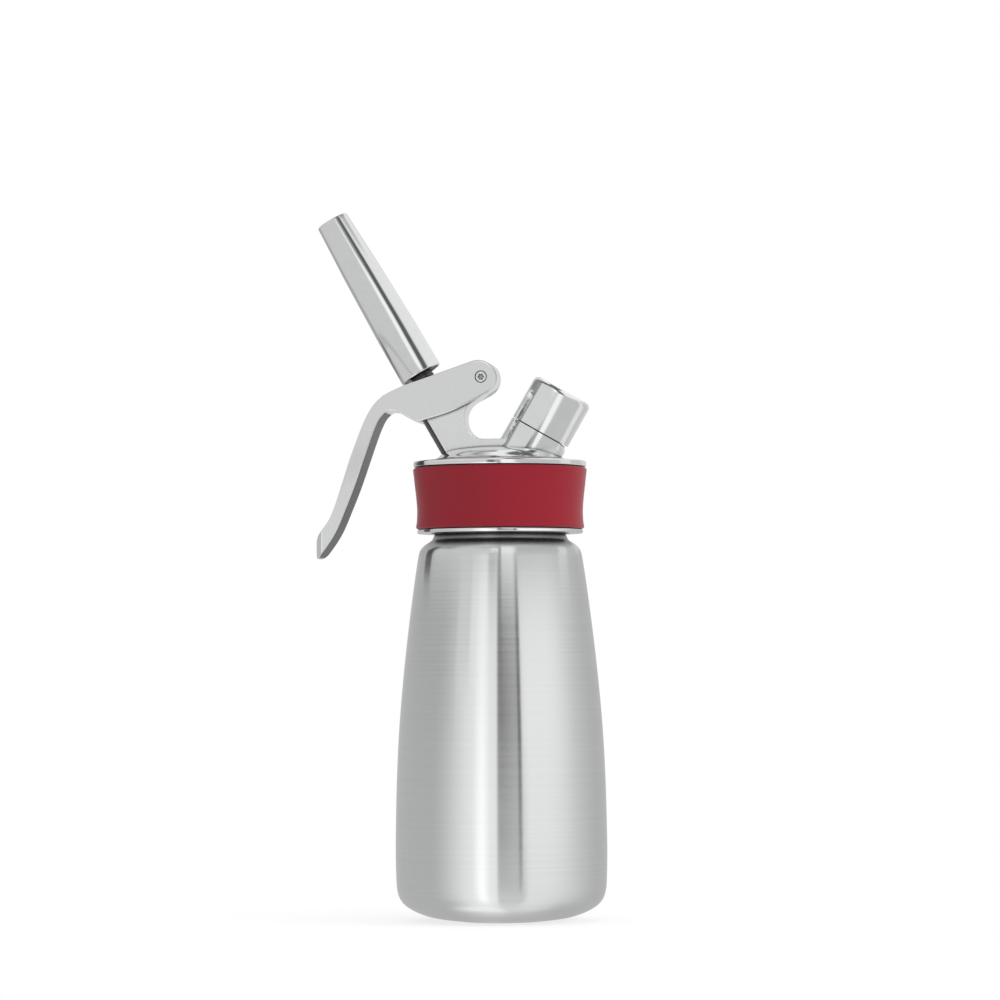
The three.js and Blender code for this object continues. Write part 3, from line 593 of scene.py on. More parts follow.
port_boss_foot = 14 * MM
port_level = 29.4 * MM
port_boss_top = port_level + 4 * MM
port_stub_radius = 9.6 * MM
stub_top = port_level + 13.8 * MM
stub_thread_height = 0.5 * MM
stub_thread_pitch = 1.6 * MM
port_bore = 4.8 * MM
bell_port_reach = (5 * MM, 24 * MM)
port_shoulder = port_level - 4.3 * MM
carrier_bore = 3.6 * MM
inner_boss_radius = 6.5 * MM
inner_boss_foot = 9 * MM
web_end_half_width = 8.6 * MM
web_end_x = 9.5 * MM
web_taper_start = -12 * MM
cut_overrun = 1 * MM
form_foot = flange_top - 1 * MM
plinth_side_top = 200 * MM
head_grain = 0.2 * MM
head_polish = 10


def on(axis_frame, across, along):
    """A point of the lever's plane, given across and along a tilted axis."""
    place = axis_frame @ Vector((across, 0.0, along))
    return (place.x, place.z)


def arc(centre, radius, start, end, steps=24):
    """Points of a circle's arc between two angles."""
    turns = [start + (end - start) * k / steps for k in range(steps + 1)]
    return [(centre[0] + radius * math.cos(a), centre[1] + radius * math.sin(a)) for a in turns]


def plate(name, outline, low, high, upright=False):
    """A flat plate: an outline in the lever's plane, from one y to another, or an upright one,
    whose outline is a plan, from one height to another."""
    bm = bmesh.new()
    sides = []
    for level in (low, high):
        if upright:
            sides.append([bm.verts.new((x, y, level)) for x, y in outline])
        else:
            sides.append([bm.verts.new((x, level, z)) for x, z in outline])
    bm.faces.new(sides[0])
    bm.faces.new(sides[1][::-1])
    for k in range(len(outline)):
        m = (k + 1) % len(outline)
        bm.faces.new((sides[0][k], sides[0][m], sides[1][m], sides[1][k]))
    return piece_from(name, bm)


def settled(piece):
    """Applies a piece's modifiers to its mesh."""
    graph = bpy.context.evaluated_depsgraph_get()
    mesh = bpy.data.meshes.new_from_object(piece.evaluated_get(graph))
    piece.modifiers.clear()
    piece.data = mesh
    return piece


def trimmed(piece, tool, operation="DIFFERENCE"):
    """Cuts a piece with a tool, which is used up, or keeps only what they share."""
    cut = piece.modifiers.new("cut", "BOOLEAN")
    cut.operation = operation
    cut.solver = "EXACT"
    cut.object = tool
    settled(piece)
    bpy.data.objects.remove(tool)
    return piece


def cast(name, forms, grain, passes):
    """One casting: overlapping forms melted into one skin and polished until corners are soft."""
    piece = joined(name, forms)
    melt = piece.modifiers.new("melt", "REMESH")
    melt.mode = "VOXEL"
    melt.voxel_size = grain
    melt.use_smooth_shade = True
    polish = piece.modifiers.new("polish", "SMOOTH")
    polish.factor = 0.5
    polish.iterations = passes
    return settled(piece)


def head_outline(set_in):
    """Side view of the post, the lug round the pivot, the round gap behind it and the web."""
    left = set_in - valve_boss_radius
    low_left = on(valve_frame, left, 0.0)
    sunk = low_left[0] - (flange_top - low_left[1]) * math.tan(valve_tilt)
    lug_start = math.asin((post_top - pivot_along) / lug_radius)
    away = pivot - hook
    flank = math.acos((lug_radius + hook_radius) / away.length) - math.atan2(away[0], away[1])
    saddle = hook[1] - hook_radius
    return (
        [(sunk, flange_top), on(valve_frame, left, post_top)]
        + arc(pivot, lug_radius, math.pi - lug_start + valve_tilt, flank - math.pi / 2)
        + arc(hook, hook_radius, math.pi / 2 + flank, math.pi * 1.5)
        + [(web_end_x, saddle), (web_end_x, flange_top)]
    )


def bar(name, axis_frame, radius, low, high, around=96):
    """A round bar along a tilted axis."""
    piece = turned(name, [(0.0, low), (radius, low), (radius, high), (0.0, high)], around)
    piece.data.transform(axis_frame)
    return piece


lean = math.asin((web_end_half_width - post_half_thickness) / (web_end_x - web_taper_start))
web_plan = (
    arc((web_end_x, 0.0), web_end_half_width, -math.pi / 2 - lean, math.pi / 2 + lean)
    + arc((web_taper_start, 0.0), post_half_thickness, math.pi / 2 + lean, math.pi * 1.5 - lean)
)
post = plate("post", head_outline(post_inset), -post_half_thickness, post_half_thickness)
web = trimmed(
    plate("web", head_outline(post_inset), -web_end_half_width, web_end_half_width),
    plate("web_plan", web_plan, flange_top, hook[1], upright=True),
    "INTERSECT",
)
valve_boss = trimmed(
    bar("valve_boss", valve_frame, valve_boss_radius, valve_boss_foot, post_top),
    plate("boss_side", head_outline(-cut_overrun), -post_half_thickness, post_half_thickness),
    "INTERSECT",
)
port_boss = trimmed(
    bar("port_boss", port_frame, port_boss_radius, port_boss_foot, port_boss_top),
    bar("plinth_side", Matrix.Identity(4), plinth_radius, form_foot, plinth_side_top),
    "INTERSECT",
)
crown_side = through([(plinth_radius * r, plinth_top + dome_crown * z) for r, z in crown_shares], 4)
crown = turned("crown", [(0.0, form_foot), (plinth_radius, form_foot)] + crown_side, 128)
head_top = cast("head_top", [post, web, valve_boss], head_grain, head_polish)
trimmed(head_top, crown, "UNION")
trimmed(head_top, port_boss, "UNION")

# The cut that levels the port's seat is wider than its boss, and stays clear of the lug.
seat_cut = [17 * MM, port_level - seat_gap, 90 * MM]
trimmed(head_top, bar("seat_plane", port_frame, *seat_cut, 32))
valve_cut = turned("valve_cut", [
    (0.0, 0.0), (valve_bore, 0.0), (valve_bore, pocket_floor), (pocket_radius, pocket_floor),
    (pocket_radius, post_top + cut_overrun), (0.0, post_top + cut_overrun),
], 64)
valve_cut.data.transform(valve_frame)
trimmed(head_top, valve_cut)
trimmed(head_top, bar("port_cut", port_frame, port_bore, 0.0, port_level + cut_overrun, 64))
trimmed(bell, bar("bell_valve_bore", valve_frame, valve_bore, *bell_valve_reach, 64))
trimmed(bell, bar("bell_port_bore", port_frame, port_bore, *bell_port_reach, 64))
head_bell = joined("head_bell", [bell, skirt_thread])
pivot_frame = Matrix.Translation((pivot[0], 0.0, pivot[1])) @ Matrix.Rotation(math.pi / 2, 4, "X")
pivot_cut = [pivot_radius + pin_gap, -pin_cut_reach, pin_cut_reach]
trimmed(head_top, bar("pivot_cut", pivot_frame, *pivot_cut, 64))

# The cut that levels the foot lies a little over the flange, clear of the forms' own feet.
foot_level = flange_top + 0.1 * MM
cut_low = 100 * MM
cut_half = 60 * MM
foot_cut = [
    (-cut_half, cut_low), (cut_half, cut_low), (cut_half, foot_level), (-cut_half, foot_level),
]
trimmed(head_top, plate("foot_cut", foot_cut, -cut_half, cut_half))
head_top.data.set_sharp_from_angle(angle=math.radians(35))

stub_root = port_stub_radius - stub_thread_height
port_stub = turned("port_stub_turned", rounded([
    (port_bore, port_shoulder), (stub_root, port_shoulder), (stub_root, stub_top, 0.6 * MM),
    (port_bore, stub_top, 0.4 * MM),
]), 96)
port_stub = joined("port_stub", [port_stub, thread(
    "stub_thread", stub_root, stub_thread_height, stub_thread_pitch, port_level + 1.5 * MM,
    stub_top - 1 * MM, 64,
)])
port_stub.data.transform(port_frame)


def ring(name, inside, outside, foot, top, inner_edge=(), outer_edge=()):
    """A turned ring. Its inner and its outer edges are rounded if they are given a radius."""
    return turned(name, rounded([
        (inside, foot, *inner_edge), (outside, foot, *outer_edge), (outside, top, *outer_edge),
        (inside, top, *inner_edge),
    ]), 64)


inner_boss = ring("inner_boss", carrier_bore, inner_boss_radius, inner_boss_foot, port_shoulder)
inner_boss.data.transform(port_frame)
seat_boss = turned("seat_boss", [
    (valve_bore + seat_chamfer, seat_level), (seat_boss_radius, seat_level),
    (seat_boss_radius, seat_boss_top), (valve_bore, seat_boss_top),
    (valve_bore, seat_level + seat_chamfer),
], 64)
seat_boss.data.transform(valve_frame)
polished = steel(
    "head_polished_steel", (0.90, 0.905, 0.91), 0.11, (260.0, 260.0, 260.0), 0.03, 0.0002 * MM,
    2.2 * MM, crease_shade=0.03, corner=0.74,
)
# A rough raw finish whose dark colour is painted shade, for sides that stand in shade.
shaded_skin = steel(
    "shaded_skin_steel", (0.2, 0.2, 0.21), 0.42, (900.0, 900.0, 900.0), 0.1, 0.003 * MM, 1 * MM,
)


def shade_side_faces(piece, toward, edge, slant=0.6):
    """Gives the faces that look along X, left of an edge, the rough skin, whose dark colour is
    painted shade.
    """
    piece.data.materials.append(shaded_skin)
    for face in piece.data.polygons:
        if face.normal.x * toward > slant and face.center.x < edge:
            face.material_index = 1


for part in (head_bell, head_top, port_stub, inner_boss, seat_boss):
    part.data.materials.clear()
    part.data.materials.append(polished)
    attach(part, "head")
    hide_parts("head_casting")
# The post's left side gets the rough skin and its painted shade.
post_shade_edge = -12 * MM
shade_side_faces(head_top, -1, post_shade_edge)


# The grip is a soft ring of red silicone, moulded in one piece and stretched over the rim into
# the groove round the head's skirt. It is waisted for the hand and has a matt, slightly dusty skin.
collar_foot = rim_top + seat_gap
collar_top = flange_foot - seat_gap
collar_inside = skirt_radius + seat_gap
collar_top_radius = 31.3 * MM
collar_foot_radius = 30.3 * MM
collar_waist = 0.75 * MM
collar_corner = 0.9 * MM
waist_shares = [(0.12, 0.55), (0.3, 1), (0.5, 0.86), (0.72, 0.42), (0.88, 0.12)]
collar_side = through(
    [(collar_foot_radius, collar_foot + collar_corner)] + [
        (
            collar_foot_radius + (collar_top_radius - collar_foot_radius) * h - collar_waist * d,
            collar_foot + (collar_top - collar_foot) * h,
        )
        for h, d in waist_shares
    ] + [(collar_top_radius, collar_top - collar_corner)], 6,
)
foot_centre = (collar_foot_radius - collar_corner, collar_foot + collar_corner)
top_centre = (collar_top_radius - collar_corner, collar_top - collar_corner)
foot_edge = arc(foot_centre, collar_corner, -math.pi / 2, 0, 6)
top_edge = arc(top_centre, collar_corner, 0, math.pi / 2, 6)
collar = turned(
    "grip_ring", [(collar_inside, collar_foot)] + foot_edge[:-1] + collar_side + top_edge[1:]
    + [(collar_inside, collar_top)], 160,
)


def rubber(name, colour, roughness, specular, speckle, relief, bloom=0.0):
    """A soft moulded material. The speckle is how far its colour varies, the relief how deep the
    grain of the mould is, and the bloom how dusty its skin looks."""
    material, wire, shader, place = blank(name)
    shader.inputs["Specular IOR Level"].default_value = specular
    shader.inputs["Sheen Weight"].default_value = bloom
    shader.inputs["Sheen Roughness"].default_value = 0.35
    grain_fineness = 2600.0
    cloud_fineness = 90.0
    grain = noise(wire, place, grain_fineness, 2.0)
    cloud = noise(wire, place, cloud_fineness, 3.0)
    pattern = grain * 0.5 + cloud * 0.5
    tint = mixed(wire, pattern, shade_of(colour, 1 - speckle), shade_of(colour, 1 + speckle))
    skinned(wire, shader, tint, cloud * 0.1 + (roughness - 0.05), grain + cloud * 0.5, relief)
    return material


red_silicone = rubber("grip_red_silicone", (0.236, 0.004, 0.014), 0.6, 0.3, 0.05, 0.004 * MM, 0.25)
collar.data.materials.append(red_silicone)
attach(collar, "head")
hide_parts("grip_collar")


# The head gasket is a flat silicone ring cut from sheet, with two tabs to pull it out by. It lies
# on the neck's lip, under the head's ceiling.
gasket_outside = skirt_bore - seat_gap
gasket_inside = gasket_outside - 3.2 * MM
gasket_foot = neck_top + seat_gap
gasket_top = gasket_foot + 1.7 * MM
tab_half_width = 3 * MM
tab_reach = 2.6 * MM
tab_turn = math.asin(tab_half_width / gasket_inside)
gasket_hole = []
for middle in (math.pi / 2, math.pi * 1.5):
    start = middle - math.pi + tab_turn
    gasket_hole += arc((0.0, 0.0), gasket_inside, start, middle - tab_turn, 48)
    depth = gasket_inside - tab_reach
    end = math.sin(middle)
    gasket_hole += [(end * tab_half_width, end * depth), (-end * tab_half_width, end * depth)]
hole_foot = gasket_foot - cut_overrun
hole_top = gasket_top + cut_overrun
gasket = trimmed(
    bar("head_gasket_ring", Matrix.Identity(4), gasket_outside, gasket_foot, gasket_top, 128),
    plate("gasket_hole", gasket_hole, hole_foot, hole_top, upright=True),
)
gasket.data.materials.clear()
gasket.data.materials.append(red_silicone)
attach(gasket, "head")
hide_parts("head_gasket")


# The charger port: a turned carrier screwed into the boss holds the hollow pin that pierces a
# charger. A gasket seals on the charger's neck and a soft cup lets the gas in and nothing back.
carrier_foot = port_shoulder + seat_gap
carrier_top = carrier_foot + 2 * MM
carrier_end = 12.5 * MM
carrier_shank = carrier_bore - 0.2 * MM
carrier_head = port_bore - seat_gap
carrier_gas_bore = 1.2 * MM
spigot_radius = 2 * MM
spigot_end = carrier_end - 3.1 * MM
pin_radius = 0.9 * MM
pin_point_radius = 0.35 * MM
pin_foot = 20 * MM
pin_top = pin_foot + 11.5 * MM
port_gasket_inside = 1.5 * MM
port_gasket_foot = carrier_top + seat_gap
port_gasket_top = port_gasket_foot + 1.6 * MM
cup_inside = spigot_radius + 0.2 * MM
cup_wall = 0.8 * MM
cup_outside = cup_inside + cup_wall
cup_chamfer = 0.3 * MM
cup_floor = spigot_end - seat_gap
satin = steel(
    "satin_steel", (0.87, 0.875, 0.88), 0.16, (1800.0, 1800.0, 1800.0), 0.05, 0.0002 * MM, 2 * MM,
    crease_shade=0.2,
)
bright_wire = steel(
    "drawn_wire_steel", (0.62, 0.625, 0.635), 0.26, (900.0, 900.0, 900.0), 0.1, 0.001 * MM, 1 * MM,
)
# The stem's collar and the nozzle's threaded ring are coloured dark as painted shade, for where
# they stand under the nozzle.
shade_dark_steel = steel(
    "shade_dark_turned_steel", (0.13, 0.13, 0.135), 0.35, (900.0, 900.0, 900.0), 0.1, 0.001 * MM, 1 * MM,
)
milky_silicone = rubber("milky_silicone", (0.72, 0.70, 0.65), 0.5, 0.5, 0.04, 0.003 * MM)
carrier = turned("pin_carrier_turned", rounded([
    (carrier_gas_bore, spigot_end), (spigot_radius, spigot_end, 0.2 * MM),
    (spigot_radius, carrier_end), (carrier_shank, carrier_end, 0.3 * MM),
    (carrier_shank, carrier_foot), (carrier_head, carrier_foot, 0.2 * MM),
    (carrier_head, carrier_top, 0.3 * MM), (carrier_gas_bore, carrier_top),
]), 64)
pin = turned("piercing_pin_ground", [
    (0.0, pin_foot), (pin_radius, pin_foot), (pin_radius, pin_top - 1.8 * MM),
    (pin_point_radius, pin_top - 0.5 * MM), (0.0, pin_top),
], 48)
port_gasket = ring(
    "charger_gasket_ring", port_gasket_inside, carrier_head, port_gasket_foot, port_gasket_top,
    inner_edge=(0.2 * MM,), outer_edge=(0.2 * MM,),
)
cup = turned("check_valve_cup", [
    (0.0, cup_floor - cup_wall), (cup_outside - cup_chamfer, cup_floor - cup_wall),
    (cup_outside, cup_floor - cup_wall + cup_chamfer), (cup_outside, carrier_end - seat_gap),
    (cup_inside, carrier_end - seat_gap), (cup_inside, cup_floor), (0.0, cup_floor),
], 64)
for part, node, material, slot in (
    (carrier, "pin_carrier", satin, "satin_steel"),
    (pin, "piercing_pin", bright_wire, "spring_steel"),
    (port_gasket, "charger_gasket", red_silicone, "red_silicone"),
    (cup, "check_valve", milky_silicone, "clear_silicone"),
):
    part.data.transform(port_frame)
    part.data.materials.append(material)
    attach(part, "head")
    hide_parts(node)


# The valve: a hollow stem runs through the post. Its conical seal and nut close the bore from
# below, an O-ring seals it, and the spring stands on a plastic bush and pushes its collar up.
stem_radius = 2.8 * MM
stem_bore = 1.5 * MM
stem_bore_floor = 14 * MM
stem_top = 63.8 * MM
stem_end_radius = 2.1 * MM
stem_end_top = 12.4 * MM
stem_end = stem_end_top - 7.8 * MM
ring_level = 23.6 * MM
ring_thickness = 1.2 * MM
groove_depth = 0.55 * MM
run_gap = 0.15 * MM
screw_gap = 0.2 * MM
groove_half = ring_thickness / 2 + run_gap
groove_radius = stem_radius - groove_depth
stem = turned("valve_stem_turned", rounded([
    (0.0, stem_end), (stem_end_radius, stem_end, 0.3 * MM), (stem_end_radius, stem_end_top),
    (stem_radius, stem_end_top, 0.3 * MM), (stem_radius, ring_level - groove_half),
    (groove_radius, ring_level - groove_half), (groove_radius, ring_level + groove_half),
    (stem_radius, ring_level + groove_half), (stem_radius, stem_top, 0.2 * MM),
    (stem_bore, stem_top), (stem_bore, stem_bore_floor), (0.0, stem_bore_floor),
]), 64)
hole_frame = Matrix.Translation((0.0, 0.0, 16 * MM)) @ Matrix.Rotation(math.pi / 2, 4, "X")
cross_hole_radius = 1 * MM
cross_hole_reach = 4 * MM
cross_hole = [cross_hole_radius, -cross_hole_reach, cross_hole_reach]
trimmed(stem, bar("cross_hole", hole_frame, *cross_hole, 32))
web_thickness = 2.4 * MM
ear_radius = 6.4 * MM
lever_slope = math.radians(18.8)
wedge = valve_tilt - lever_slope
pivot_across = pivot[0] * math.cos(valve_tilt) + (pivot[1] - valve_crossing) * math.sin(valve_tilt)


def web_underside(across):
    """How far along the valve's axis the underside of the lever's web lies."""
    under_pivot = pivot_along + (ear_radius - web_thickness) / math.cos(wedge)
    return under_pivot + (pivot_across - across) * math.tan(wedge)


collar_flange_radius = 5.6 * MM
collar_neck_radius = 4.2 * MM
stem_collar_top = web_underside(collar_flange_radius) - seat_gap
stem_collar_foot = stem_collar_top - 2.2 * MM
neck_ridge = 0.25 * MM
collar_root = collar_neck_radius - neck_ridge
collar_thread_pitch = 1 * MM
thread_end = 0.8 * MM
stem_collar = joined("stem_collar_threaded", [
    turned("stem_collar_turned", rounded([
        (stem_radius + run_gap, stem_collar_foot),
        (collar_flange_radius, stem_collar_foot, 0.3 * MM),
        (collar_flange_radius, stem_collar_top, 0.3 * MM), (collar_root, stem_collar_top),
        (collar_root, stem_top, 0.4 * MM), (stem_radius + run_gap, stem_top),
    ]), 64),
    thread(
        "collar_thread", collar_root, neck_ridge, collar_thread_pitch, stem_collar_top + 1.5 * MM,
        stem_top - thread_end, 48,
    ),
])
seal_top = seat_level - seat_gap
seal_radius = 6 * MM
seal_foot = seal_top - 3 * MM
nose_radius = valve_bore - screw_gap
nose_top = stem_end_top - seat_gap
seal = turned("valve_seal_cone", rounded([
    (stem_end_radius + seat_gap, seal_foot), (seal_radius, seal_foot, 0.4 * MM),
    (seal_radius, seal_top, 0.4 * MM), (nose_radius + nose_top - seal_top, seal_top),
    (nose_radius, nose_top, 0.3 * MM), (stem_end_radius + seat_gap, nose_top),
]), 64)
nut_top = seal_foot - seat_gap
nut_radius = 5.5 * MM
nut_foot = nut_top - 2.5 * MM
nut_inside = stem_end_radius + screw_gap
nut = turned("seal_nut_hexagon", [
    (nut_inside, nut_foot), (nut_radius, nut_foot), (nut_radius, nut_top), (nut_inside, nut_top),
], 6)
nut_bore = [nut_inside, nut_foot - cut_overrun, nut_top + cut_overrun]
trimmed(nut, bar("nut_bore", Matrix.Identity(4), *nut_bore, 48))
nut_edge = nut.modifiers.new("chamfer", "BEVEL")
nut_edge.width = 0.25 * MM
nut_edge.segments = 2
nut_edge.limit_method = "ANGLE"
settled(nut)
ring_slack = 0.02 * MM
ring_radius = (groove_radius + valve_bore) / 2 - ring_slack
o_ring = turned("stem_o_ring_moulded", arc(
    (ring_radius, ring_level), ring_thickness / 2, 0.0, 2 * math.pi * 23 / 24, 23,
), 64, 60)
bush_foot = pocket_floor + seat_gap
bush_top = bush_foot + 5 * MM
bush = ring(
    "guide_bush_moulded", stem_radius + run_gap, pocket_radius - screw_gap, bush_foot, bush_top,
    inner_edge=(0.2 * MM,), outer_edge=(0.3 * MM,),
)


def coil(name, radius, wire_radius, foot, top, turns, around=32, sides=10):
    """A round wire wound about Z at a steady pitch, its ends closed flat."""
    bm = bmesh.new()
    rings = []
    slope = math.atan2((top - foot) / turns, 2 * math.pi * radius)
    for k in range(turns * around + 1):
        turn = 2 * math.pi * k / around
        out = Vector((math.cos(turn), math.sin(turn), 0.0))
        up = Vector((
            math.sin(turn) * math.sin(slope), -math.cos(turn) * math.sin(slope), math.cos(slope),
        ))
        middle = out * radius + Vector((0.0, 0.0, foot + (top - foot) * k / (turns * around)))
        angles = [2 * math.pi * side / sides for side in range(sides)]
        spokes = [out * math.cos(a) + up * math.sin(a) for a in angles]
        rings.append([bm.verts.new(middle + wire_radius * spoke) for spoke in spokes])
    for low, high in zip(rings, rings[1:]):
        for side in range(sides):
            m = (side + 1) % sides
            bm.faces.new((low[side], low[m], high[m], high[side]))
    bm.faces.new(rings[0])
    bm.faces.new(rings[-1])
    return piece_from(name, bm, 60)


spring_wire = 0.4 * MM
spring_radius = 3.62 * MM
spring_foot = bush_top + seat_gap + spring_wire
spring_top = stem_collar_foot - seat_gap - spring_wire
spring = coil("valve_spring_wound", spring_radius, spring_wire, spring_foot, spring_top, 7)
black_rubber = rubber("black_rubber", (0.012, 0.012, 0.013), 0.6, 0.5, 0.1, 0.003 * MM)
white_plastic = rubber("guide_plastic", (0.78, 0.77, 0.73), 0.42, 0.5, 0.02, 0.002 * MM)
for part, node, body, material, slot in (
    (stem, "valve_stem", "stem", satin, "satin_steel"),
    (stem_collar, "stem_collar", "stem", shade_dark_steel, "satin_steel"),
    (seal, "valve_seal", "stem", milky_silicone, "clear_silicone"),
    (nut, "seal_nut", "stem", satin, "satin_steel"),
    (o_ring, "stem_o_ring", "stem", black_rubber, "black_rubber"),
    (bush, "guide_bush", "head", white_plastic, "guide_plastic"),
    (spring, "valve_spring", "head", bright_wire, "spring_steel"),
):
    part.data.transform(valve_frame)
    part.data.materials.clear()
    part.data.materials.append(material)
    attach(part, body)
    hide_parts(node)
stem_travel_length = 2.3 * MM
spring_anchor = valve_frame @ Vector((0.0, 0.0, spring_foot - spring_wire))
1 - stem_travel_length / (spring_top - spring_foot + 2 * spring_wire)
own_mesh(spring)


# The lever is one steel casting, vibratory-finished to a satin, with a rougher inner side painted
# dark with shade. Its fork straddles the post, the web between the ears bears on the stem's collar,
# and the tail curves down for the fingers.
lever_half_width = 8 * MM
fork_half_gap = 6 * MM
fork_floor = 10.8 * MM
lever_reach = 61 * MM
lever_drop = 65.4 * MM
lever_top_run = 27.4 * MM
lever_swing = math.radians(10)
swing_gap = 0.2 * MM
ear_cut_reach = 12 * MM
lug_room = 0.95 * MM
lever_grain = 0.22 * MM
lever_polish = 11
lever_shade_edge = -24 * MM
ear_set_back = 1.1 * MM
tip_radius = 13 * MM
outer_shares = [
    (0.54, 0.077), (0.6, 0.111), (0.655, 0.168), (0.7, 0.245), (0.736, 0.328), (0.782, 0.442),
    (0.826, 0.57), (0.871, 0.697), (0.906, 0.775), (0.949, 0.833), (0.986, 0.877), (1.002, 0.925),
    (0.999, 0.965), (0.986, 0.996),
]
inner_shares = [
    (0.956, 0.974), (0.898, 0.901), (0.854, 0.83), (0.808, 0.73), (0.751, 0.598), (0.701, 0.465),
    (0.652, 0.334), (0.622, 0.263), (0.594, 0.215), (0.557, 0.185), (0.52, 0.183), (0.483, 0.194),
    (0.443, 0.216), (0.384, 0.247),
]
lower_shares = [(0.384, 0.247), (0.25, 0.211), (0.153, 0.179), (0.048, 0.131)]


def of_reach(shares):
    """A point of the lever's outline, as shares of its reach and of its drop from the pivot."""
    return (pivot[0] - lever_reach * shares[0], pivot[1] - lever_drop * shares[1])


top_start = math.pi / 2 + lever_slope
ear = pivot - ear_set_back * Vector((math.cos(lever_slope), math.sin(lever_slope)))
ear_top = (ear[0] + ear_radius * math.cos(top_start), ear[1] + ear_radius * math.sin(top_start))
knee_x = pivot[0] - lever_top_run
knee = (knee_x, ear_top[1] - (ear_top[0] - knee_x) * math.tan(lever_slope))
lever_outer = through([knee] + [of_reach(s) for s in outer_shares], 5)
lever_inner = through([lever_outer[-1]] + [of_reach(s) for s in inner_shares], 5)
lever_lower = through([of_reach(s) for s in lower_shares], 5)
ear_corner = Vector(of_reach(lower_shares[-1])) - ear
ear_start = math.atan2(ear_corner[1], ear_corner[0]) + math.acos(ear_radius / ear_corner.length)
lever_outline = (
    [ear_top] + lever_outer + lever_inner[1:] + lever_lower[1:]
    + arc(ear, ear_radius, ear_start, top_start, 32)[:-1]
)
lever = plate("lever_cast", lever_outline, -lever_half_width, lever_half_width)
plan_half_width = lever_half_width * 1.05
tip_turn = math.asin(plan_half_width / tip_radius)
lever_plan = [(-pivot[0], -plan_half_width), (-pivot[0], plan_half_width)] + arc(
    (pivot[0] - lever_reach + tip_radius, 0.0), tip_radius, math.pi - tip_turn, math.pi + tip_turn,
)
trimmed(lever, plate(
    "lever_plan", lever_plan, pivot[1] - lever_drop * 1.1, pivot[1] + lever_drop, upright=True,
), "INTERSECT")
open_below = pivot_along - lever_reach
fork_slot = [
    (-fork_floor, web_underside(-fork_floor)), (-fork_floor, open_below),
    (pivot_across, open_below), (pivot_across, web_underside(pivot_across)),
]
fork_outline = [on(valve_frame, across, along) for across, along in fork_slot]
trimmed(lever, plate("fork_slot", fork_outline, -fork_half_gap, fork_half_gap))
trimmed(lever, bar("lug_slot", pivot_frame, lug_radius + lug_room, -fork_half_gap, fork_half_gap))
web_middle = web_underside(0.0) + web_thickness / 2
stem_hole_radius = collar_neck_radius + 2 * seat_gap
stem_hole_reach = 3.6 * MM
stem_hole_shift = lever_swing * (web_middle - pivot_along)
stem_hole = plate("stem_hole", (
    arc((0.0, 0.0), stem_hole_radius, math.pi / 2, math.pi * 1.5)
    + arc((stem_hole_shift, 0.0), stem_hole_radius, -math.pi / 2, math.pi / 2)
), web_middle - stem_hole_reach, web_middle + stem_hole_reach, upright=True)
stem_hole.data.transform(valve_frame)
trimmed(lever, stem_hole)
lever = cast("lever_casting", [lever], lever_grain, lever_polish)
pin_hole = [pivot_radius + swing_gap, -ear_cut_reach, ear_cut_reach]
trimmed(lever, bar("lever_pin_hole", pivot_frame, *pin_hole, 64))
lever.data.materials.clear()
lever.data.materials.append(satin)
# The lever's inner side gets the rough skin and its painted shade.
shade_side_faces(lever, 1, lever_shade_edge)
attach(lever, "lever_body")
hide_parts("lever")


# The pivot pin is a turned barrel pushed through ears and lug from behind, with a small screw
# in its front end. The screw's head has a recess for a key.
barrel_back = 7.8 * MM
screw_front = -7.8 * MM
screw_head = 1.6 * MM
screw_shank = 1.2 * MM
screw_end = screw_front + 9 * MM
barrel_front = screw_front + screw_head + seat_gap
barrel_frame = Matrix.Translation((pivot[0], 0.0, pivot[1])) @ Matrix.Rotation(-math.pi / 2, 4, "X")
barrel_bore = screw_shank + screw_gap
barrel_floor = barrel_front + 9 * MM
barrel = turned("pivot_barrel_turned", rounded([
    (0.0, barrel_back), (pivot_radius, barrel_back, 0.25 * MM), (pivot_radius, barrel_front),
    (barrel_bore, barrel_front), (barrel_bore, barrel_floor), (0.0, barrel_floor),
]), 64)
screw = turned("pivot_screw_turned", rounded([
    (0.0, screw_front), (pivot_radius, screw_front, 0.35 * MM),
    (pivot_radius, screw_front + screw_head), (screw_shank, screw_front + screw_head),
    (screw_shank, screw_end, 0.3 * MM), (0.0, screw_end),
]), 64)
star_radius = 1.02 * MM
star_wave = 0.16 * MM
star_points = 6
star_floor = screw_front + 0.9 * MM
star = []
for k in range(48):
    turn = 2 * math.pi * k / 48
    reach = star_radius + star_wave * math.cos(star_points * turn)
    star.append((reach * math.cos(turn), reach * math.sin(turn)))
trimmed(screw, plate("star_recess", star, screw_front - cut_overrun, star_floor, upright=True))
for part, node in ((barrel, "pivot_barrel"), (screw, "pivot_screw")):
    part.data.transform(barrel_frame)
    part.data.materials.clear()
    part.data.materials.append(satin)
    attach(part, "head")
    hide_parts(node)


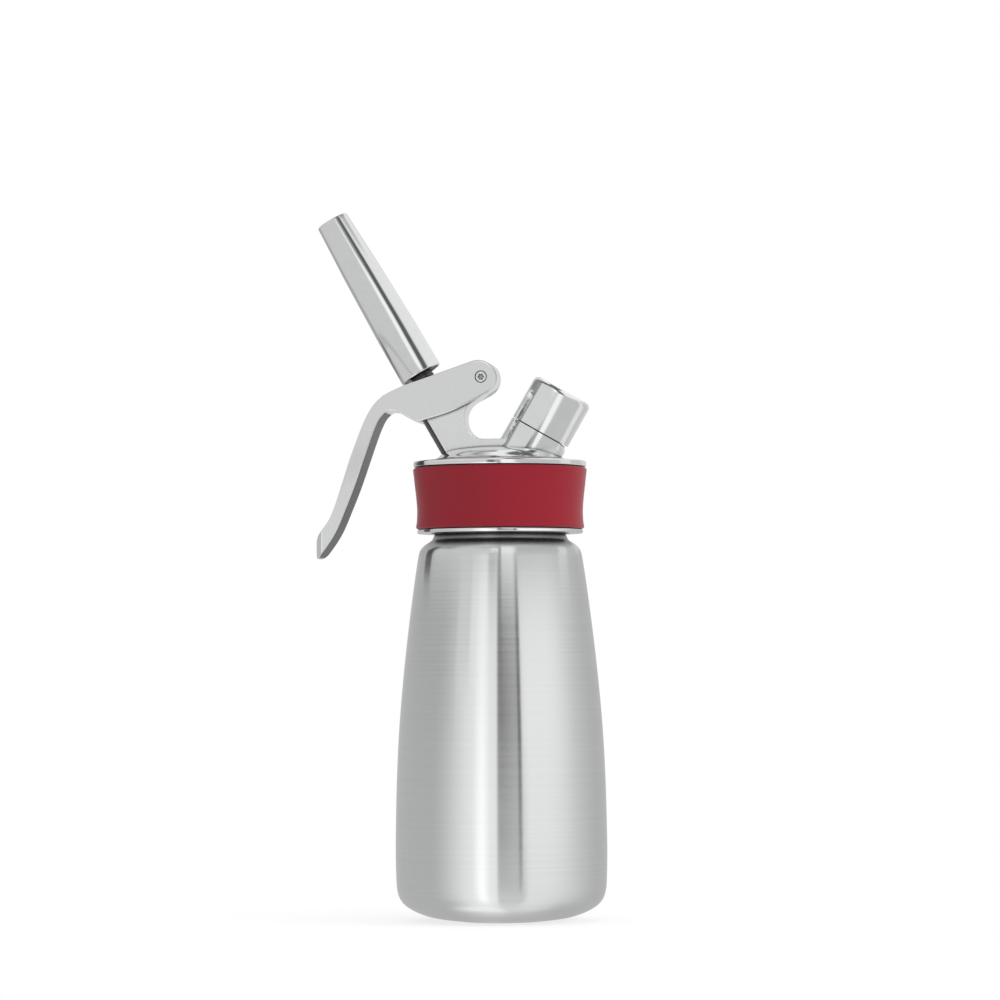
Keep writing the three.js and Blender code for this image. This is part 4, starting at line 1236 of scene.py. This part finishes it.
# The nozzle is a drawn steel tube, slightly tapered and polished. A threaded ring, painted dark
# with shade, is pressed into its foot and screws on the stem's collar.
nozzle_foot = 56.8 * MM
nozzle_length = 64.9 * MM
nozzle_foot_radius = 7.75 * MM
nozzle_shares = [
    (1, 0), (0.985, 0.25), (0.95, 0.4), (0.917, 0.55), (0.877, 0.7), (0.817, 0.85), (0.76, 1),
]
nozzle_wall = 0.75 * MM
foot_narrowing = 0.06
nozzle_taper = nozzle_foot_radius * foot_narrowing / nozzle_length
nozzle_side = through(
    [(nozzle_foot_radius * r, nozzle_foot + nozzle_length * z) for r, z in nozzle_shares], 4,
)
nozzle = turned("nozzle_tube", rounded(
    [(nozzle_foot_radius - nozzle_wall, nozzle_foot, 0.2 * MM), nozzle_side[0] + (0.7 * MM,)]
    + nozzle_side[1:-1] + [nozzle_side[-1] + (0.2 * MM,)]
    + [(r - nozzle_wall, z) for r, z in nozzle_side[:0:-1]],
), 96)
insert_foot = nozzle_foot + 0.5 * MM
insert_top = insert_foot + 9 * MM
nozzle_bore = nozzle_foot_radius - nozzle_wall - nozzle_taper * (insert_top - nozzle_foot)
insert_outside = nozzle_bore - screw_gap
insert_ridge = neck_ridge / 2
insert_inside = collar_neck_radius + seat_gap + insert_ridge
nozzle_insert = joined("nozzle_thread_insert", [
    ring(
        "nozzle_insert_turned", insert_inside, insert_outside, insert_foot, insert_top,
        outer_edge=(0.2 * MM,),
    ),
    thread(
        "insert_thread", insert_inside, -insert_ridge, collar_thread_pitch,
        insert_foot + thread_end, insert_top - thread_end, 48,
    ),
])
tube_steel = steel(
    "nozzle_drawn_steel", (0.79, 0.795, 0.80), 0.1, (400.0, 400.0, 400.0), 0.03, 0.0002 * MM,
    0.5 * MM,
)
for part, node, material in (
    (nozzle, "nozzle", tube_steel), (nozzle_insert, "nozzle_thread_ring", shade_dark_steel),
):
    part.data.transform(valve_frame)
    part.data.materials.append(material)
    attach(part, "nozzle_body")
    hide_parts(node)


# The cap is a drawn steel shell, polished like the head. It screws over the port's stub and
# closes it when no charger is on.
cap_radius = 11.3 * MM
cap_top = port_level + 17.1 * MM
cap_rounding = 2 * MM
cap_wall = 1.3 * MM
cap_chamfer = 0.15 * MM
cap_roof_wall = 2 * MM
cap_roof = cap_top - cap_roof_wall
cap_edge = arc(
    (cap_radius - cap_rounding, cap_top - cap_rounding), cap_rounding, 0.0, math.pi / 2, 12,
)
cap_inside = cap_radius - cap_wall
cap = turned("port_cap_shell", [
    (0.0, cap_roof), (cap_inside, cap_roof), (cap_inside, port_level),
    (cap_radius - cap_chamfer, port_level), (cap_radius, port_level + cap_chamfer),
] + cap_edge + [(0.0, cap_top)], 128)
cap.data.transform(port_frame)
cap.data.materials.append(polished)
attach(cap, "cap")
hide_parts("port_cap")
